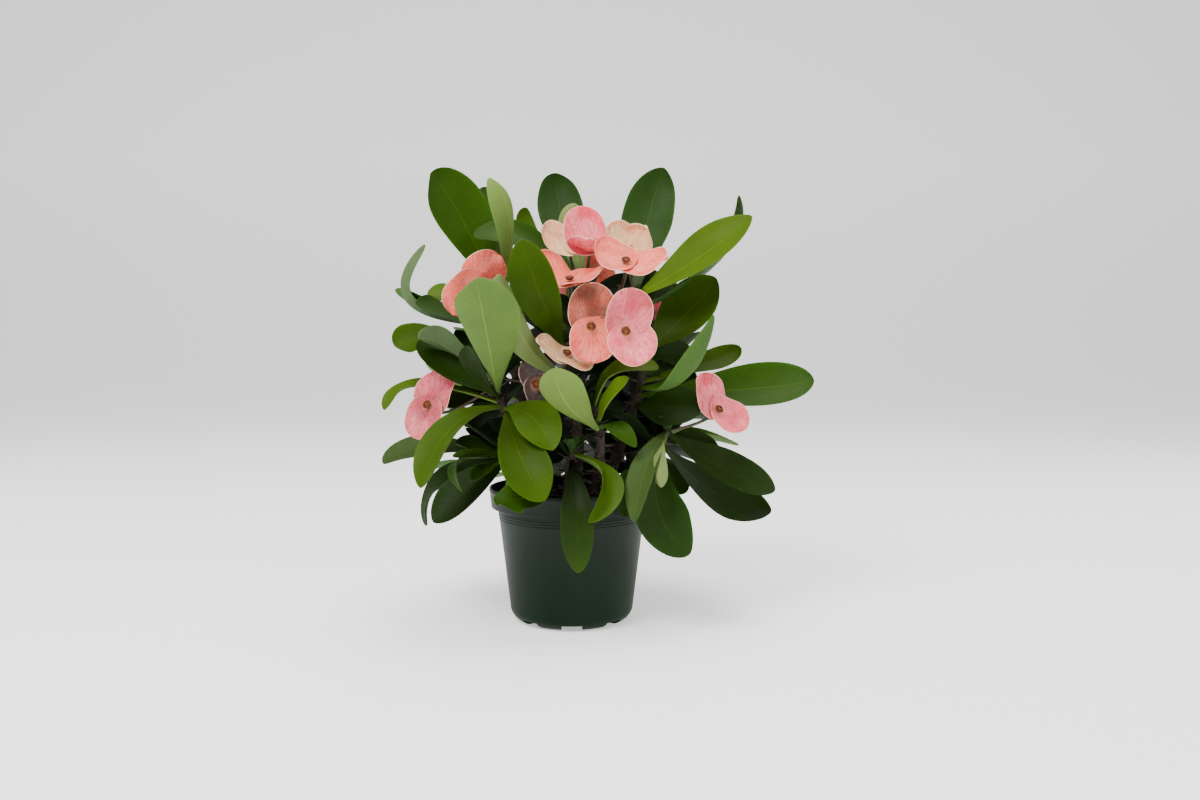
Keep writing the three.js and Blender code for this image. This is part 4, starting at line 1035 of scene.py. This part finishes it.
def bract_surface(name, colours):
    """Veined petal skin. 'spoke' is the angle round the eye, 'eye' the distance from it in cm, and
    'edge' the distance from the rim in cm; 'dusk' is how far painted shadow darkens the bract."""
    material, tree, surface = new_material(name)
    base, blush, pale = ((*colours[key], 1) for key in ("base", "blush", "pale"))
    spoke, eye, edge, painted_shadow = (
        Wire(tree).node("ShaderNodeAttribute", {"attribute_name": key}, output=2) for key in BRACT_LAYERS
    )
    wander = grain(tree, 160, detail=3)
    vein = (spoke * FAN_VEINS + wander * (0.5 + eye * 0.5)).lines(0.02, 0.2)
    veinlet = (spoke * FINE_VEINS + wander * (0.9 + eye)).lines(0.02, 0.3)
    clouds = grain(tree, 75, detail=4)
    specks = grain(tree, 520, detail=3, roughness=0.7)
    colour = clouds.step(0.3, 0.72).mix(base, pale)
    colour = (grain(tree, 45, detail=2).step(0.48, 0.7) * 0.6).mix(colour, blush)
    colour = (specks.step(0.5, 0.66) * 0.55).mix(colour, blush)
    outward = (1 - edge.step(0.15, 0.8)) * clouds.step(0.42, 0.62)
    colour = (outward * 0.5).mix(colour, blush)
    colour = (vein * 0.55 + veinlet * 0.3).mix(colour, blush)
    # Soft patches of painted shade over each bract
    soft_shade = grain(tree, 110, detail=4, roughness=0.65).step(0.48, 0.7) * 0.35
    colour = soft_shade.mix(colour, SOFT_SHADE_TINT, "MULTIPLY")
    # Painted shadow, uneven, on the bracts that lie in the shade of leaves and other blooms
    shadow_amount = painted_shadow * (0.45 + 0.5 * grain(tree, 45, detail=1).step(0.3, 0.7))
    colour = shadow_amount.mix(colour, SHADOW_TINT, "MULTIPLY")
    colour = ((1 - edge.step(0.01, 0.075)) * 0.7).mix(colour, RIM_TINT)
    colour = ((1 - eye.step(0.2, 0.6)) * 0.4).mix(colour, THROAT_TINT)
    colour.to(surface, "Base Color")
    (0.62 + 0.1 * clouds).to(surface, "Roughness")
    bump(clouds * 0.6 - vein * 0.4 - veinlet * 0.2 + specks * 0.3, 0.0005, 0.6).to(surface, "Normal")
    settle(surface, Specular_IOR_Level=0.15, Subsurface_Weight=0.22)
    settle(surface, Subsurface_Radius=(0.004, 0.0018, 0.0014), Subsurface_Scale=1.0)
    return material


bract_skins = {name: bract_surface(f"bract_{name}", colours) for name, colours in BRACT_COLOURS.items()}


def bract_half(share, width):
    """Half width of a bract: full and round, with broad shoulders beside the eye"""
    power = 2.15 if share > 0.5 else 2.8
    return width / 2 * max(0, 1 - abs(2 * share - 1) ** power) ** (1 / power)


def grow_bract(mesh, layers, each, k, shadow_amount):
    """Adds one of the two bracts of a bloom, of which the first lies behind the second"""
    middle, face = each["middle"], each["face"]
    out = each["bracts"][k].normalized()
    level = (out - face * out.dot(face)).normalized()
    length, width = BRACT_LENGTHS[k] * each["size"] * MM, BRACT_WIDTH * each["size"] * MM
    foot = middle - level * BRACT_LAP * MM - face * (BRACT_BEHIND * (1 - k) * MM)
    bend = middle + level * (length * BRACT_BEND_AT)
    rim = middle + out * length
    shares = [0.5 - 0.5 * math.cos(math.pi * i / BRACT_ROWS) for i in range(BRACT_ROWS + 1)]
    phase, wave = random.uniform(0, 6), random.uniform(*BRACT_WAVE) * MM

    def skew_at(share, reach):
        """The outline wanders, as no two lobes are alike"""
        return 1 + BRACT_WANDER * noise.noise(Vector((phase * 7, share * 2.6, reach * 1.5))) * abs(reach)

    def body_at(share, reach):
        return BRACT_THICKNESS / 2 * (1 - reach * reach) ** 0.5 * MM

    def lift_at(share, reach):
        crease = -CREASE_DEPTH * MM * math.exp(-((reach / CREASE_SPREAD) ** 2)) * math.sin(math.pi * share)
        outer = max(reach * reach, share**3)
        ruffle = wave * outer * math.sin(phase + BRACT_RIPPLES * share + BRACT_RIPPLE_TURN * reach)
        pucker = PUCKER * MM * noise.noise(Vector((reach * 3, share * 4, phase)))
        return crease + ruffle + pucker * share

    def paint(vert, share, reach, half):
        along = (share * (length + BRACT_LAP * MM) - BRACT_LAP * MM) / length
        aside = reach * half / length
        end_gap = min(share, 1 - share) * length
        vert[layers["spoke"]] = math.atan2(aside, along + EYE_SPREAD)
        vert[layers["eye"]] = math.hypot(along, aside) * length * 100
        # How far painted shadow darkens this bract
        vert[layers["painted_shadow"]] = shadow_amount
        vert[layers["edge"]] = min((1 - abs(reach)) * half, end_gap + (1 - abs(reach)) * half) * 100

    blade(
        mesh, (foot, bend, rim), shares, BRACT_ACROSS, lambda share: bract_half(share, width),
        face, BRACT_CUP, 0, body_at, lift_at, paint, skew_at,
    )


for number, each in enumerate(BLOOMS, 1):
    bract_mesh = bmesh.new()
    layers = {key: bract_mesh.verts.layers.float.new(key) for key in BRACT_LAYERS}
    for k, shadow_amount in enumerate(SHADED_BRACTS.get(number, (0, 0))):
        grow_bract(bract_mesh, layers, each, k, shadow_amount)
    for face in bract_mesh.faces:
        face.material_index = 0
    colour = each["colour"]
    bracts = placed(f"bracts_{number}", sealed(bract_mesh), [bract_skins[colour]], 75)
    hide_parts(f"bloom_{number}_bracts")


# Cups. The true flowers: a small brown-green cup on the middle of the bracts, ringed by five plump
# shining nectar glands, with a few yellow anthers standing in it.
CUP_RADIUS = 2.9
CUP_SECTION = ((0, 0.05), (0.6, 0.2), (0.86, 0.7), (0.8, 1.5), (0.55, 1.65), (0.4, 1.1), (0, 0.9))
CUP_TURNS = 32
CUP_SEAT = 0.6
GLAND_COUNT = 5
GLAND_STRAY = 0.06
GLAND_SIZE = (0.95, 1.55, 0.62)
GLAND_AT = (CUP_RADIUS * 0.66, 0, 1.5)
ANTHER_COUNT = 6
ANTHER_RADIUS = 0.34
ANTHER_REACH = 0.62
ANTHER_LOW, ANTHER_STRAY = 1.3, 0.5

cup_material = speckled("cup", 400, (0.03, 0.008, 0.002), (0.07, 0.02, 0.004), Roughness=0.5)
gland_material = speckled(
    "nectar_gland", 500, (0.07, 0.013, 0.0025), (0.17, 0.036, 0.005), Roughness=0.45, Specular_IOR_Level=0.2
)
anther_material, _, surface = new_material("anther")
settle(surface, Base_Color=(0.34, 0.13, 0.015, 1), Roughness=0.7)


def ball(mesh, sides, rows, radius, skin):
    """The points of a new ball round the origin, with one of the piece's materials"""
    before = set(mesh.faces)
    verts = bmesh.ops.create_uvsphere(mesh, u_segments=sides, v_segments=rows, radius=radius)["verts"]
    for face in set(mesh.faces) - before:
        face.material_index = skin
    return verts


for number, each in enumerate(BLOOMS, 1):
    cup_mesh = turned([(CUP_RADIUS * share, z) for share, z in CUP_SECTION], CUP_TURNS)
    for k in range(GLAND_COUNT):
        stray = random.uniform(-GLAND_STRAY, GLAND_STRAY)
        turn = Quaternion((0, 0, 1), 2 * math.pi * (k + stray) / GLAND_COUNT)
        for vert in ball(cup_mesh, 14, 9, MM, 1):
            plump = Vector(a * b for a, b in zip(vert.co, GLAND_SIZE))
            vert.co = turn @ (plump + Vector(GLAND_AT) * MM)
    for k in range(ANTHER_COUNT):
        a = GOLDEN_TURN * k
        rise = ANTHER_LOW + ANTHER_STRAY * random.random()
        at = Vector((ANTHER_REACH * math.cos(a), ANTHER_REACH * math.sin(a), rise)) * MM
        bmesh.ops.translate(cup_mesh, verts=ball(cup_mesh, 8, 6, ANTHER_RADIUS * MM, 2), vec=at)
    turn = Vector((0, 0, 1)).rotation_difference(each["face"])
    for vert in cup_mesh.verts:
        vert.co = turn @ vert.co + each["middle"] + each["face"] * CUP_SEAT * MM
    cup = placed(f"cup_{number}", cup_mesh, [cup_material, gland_material, anther_material])
    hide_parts(f"bloom_{number}_cup")
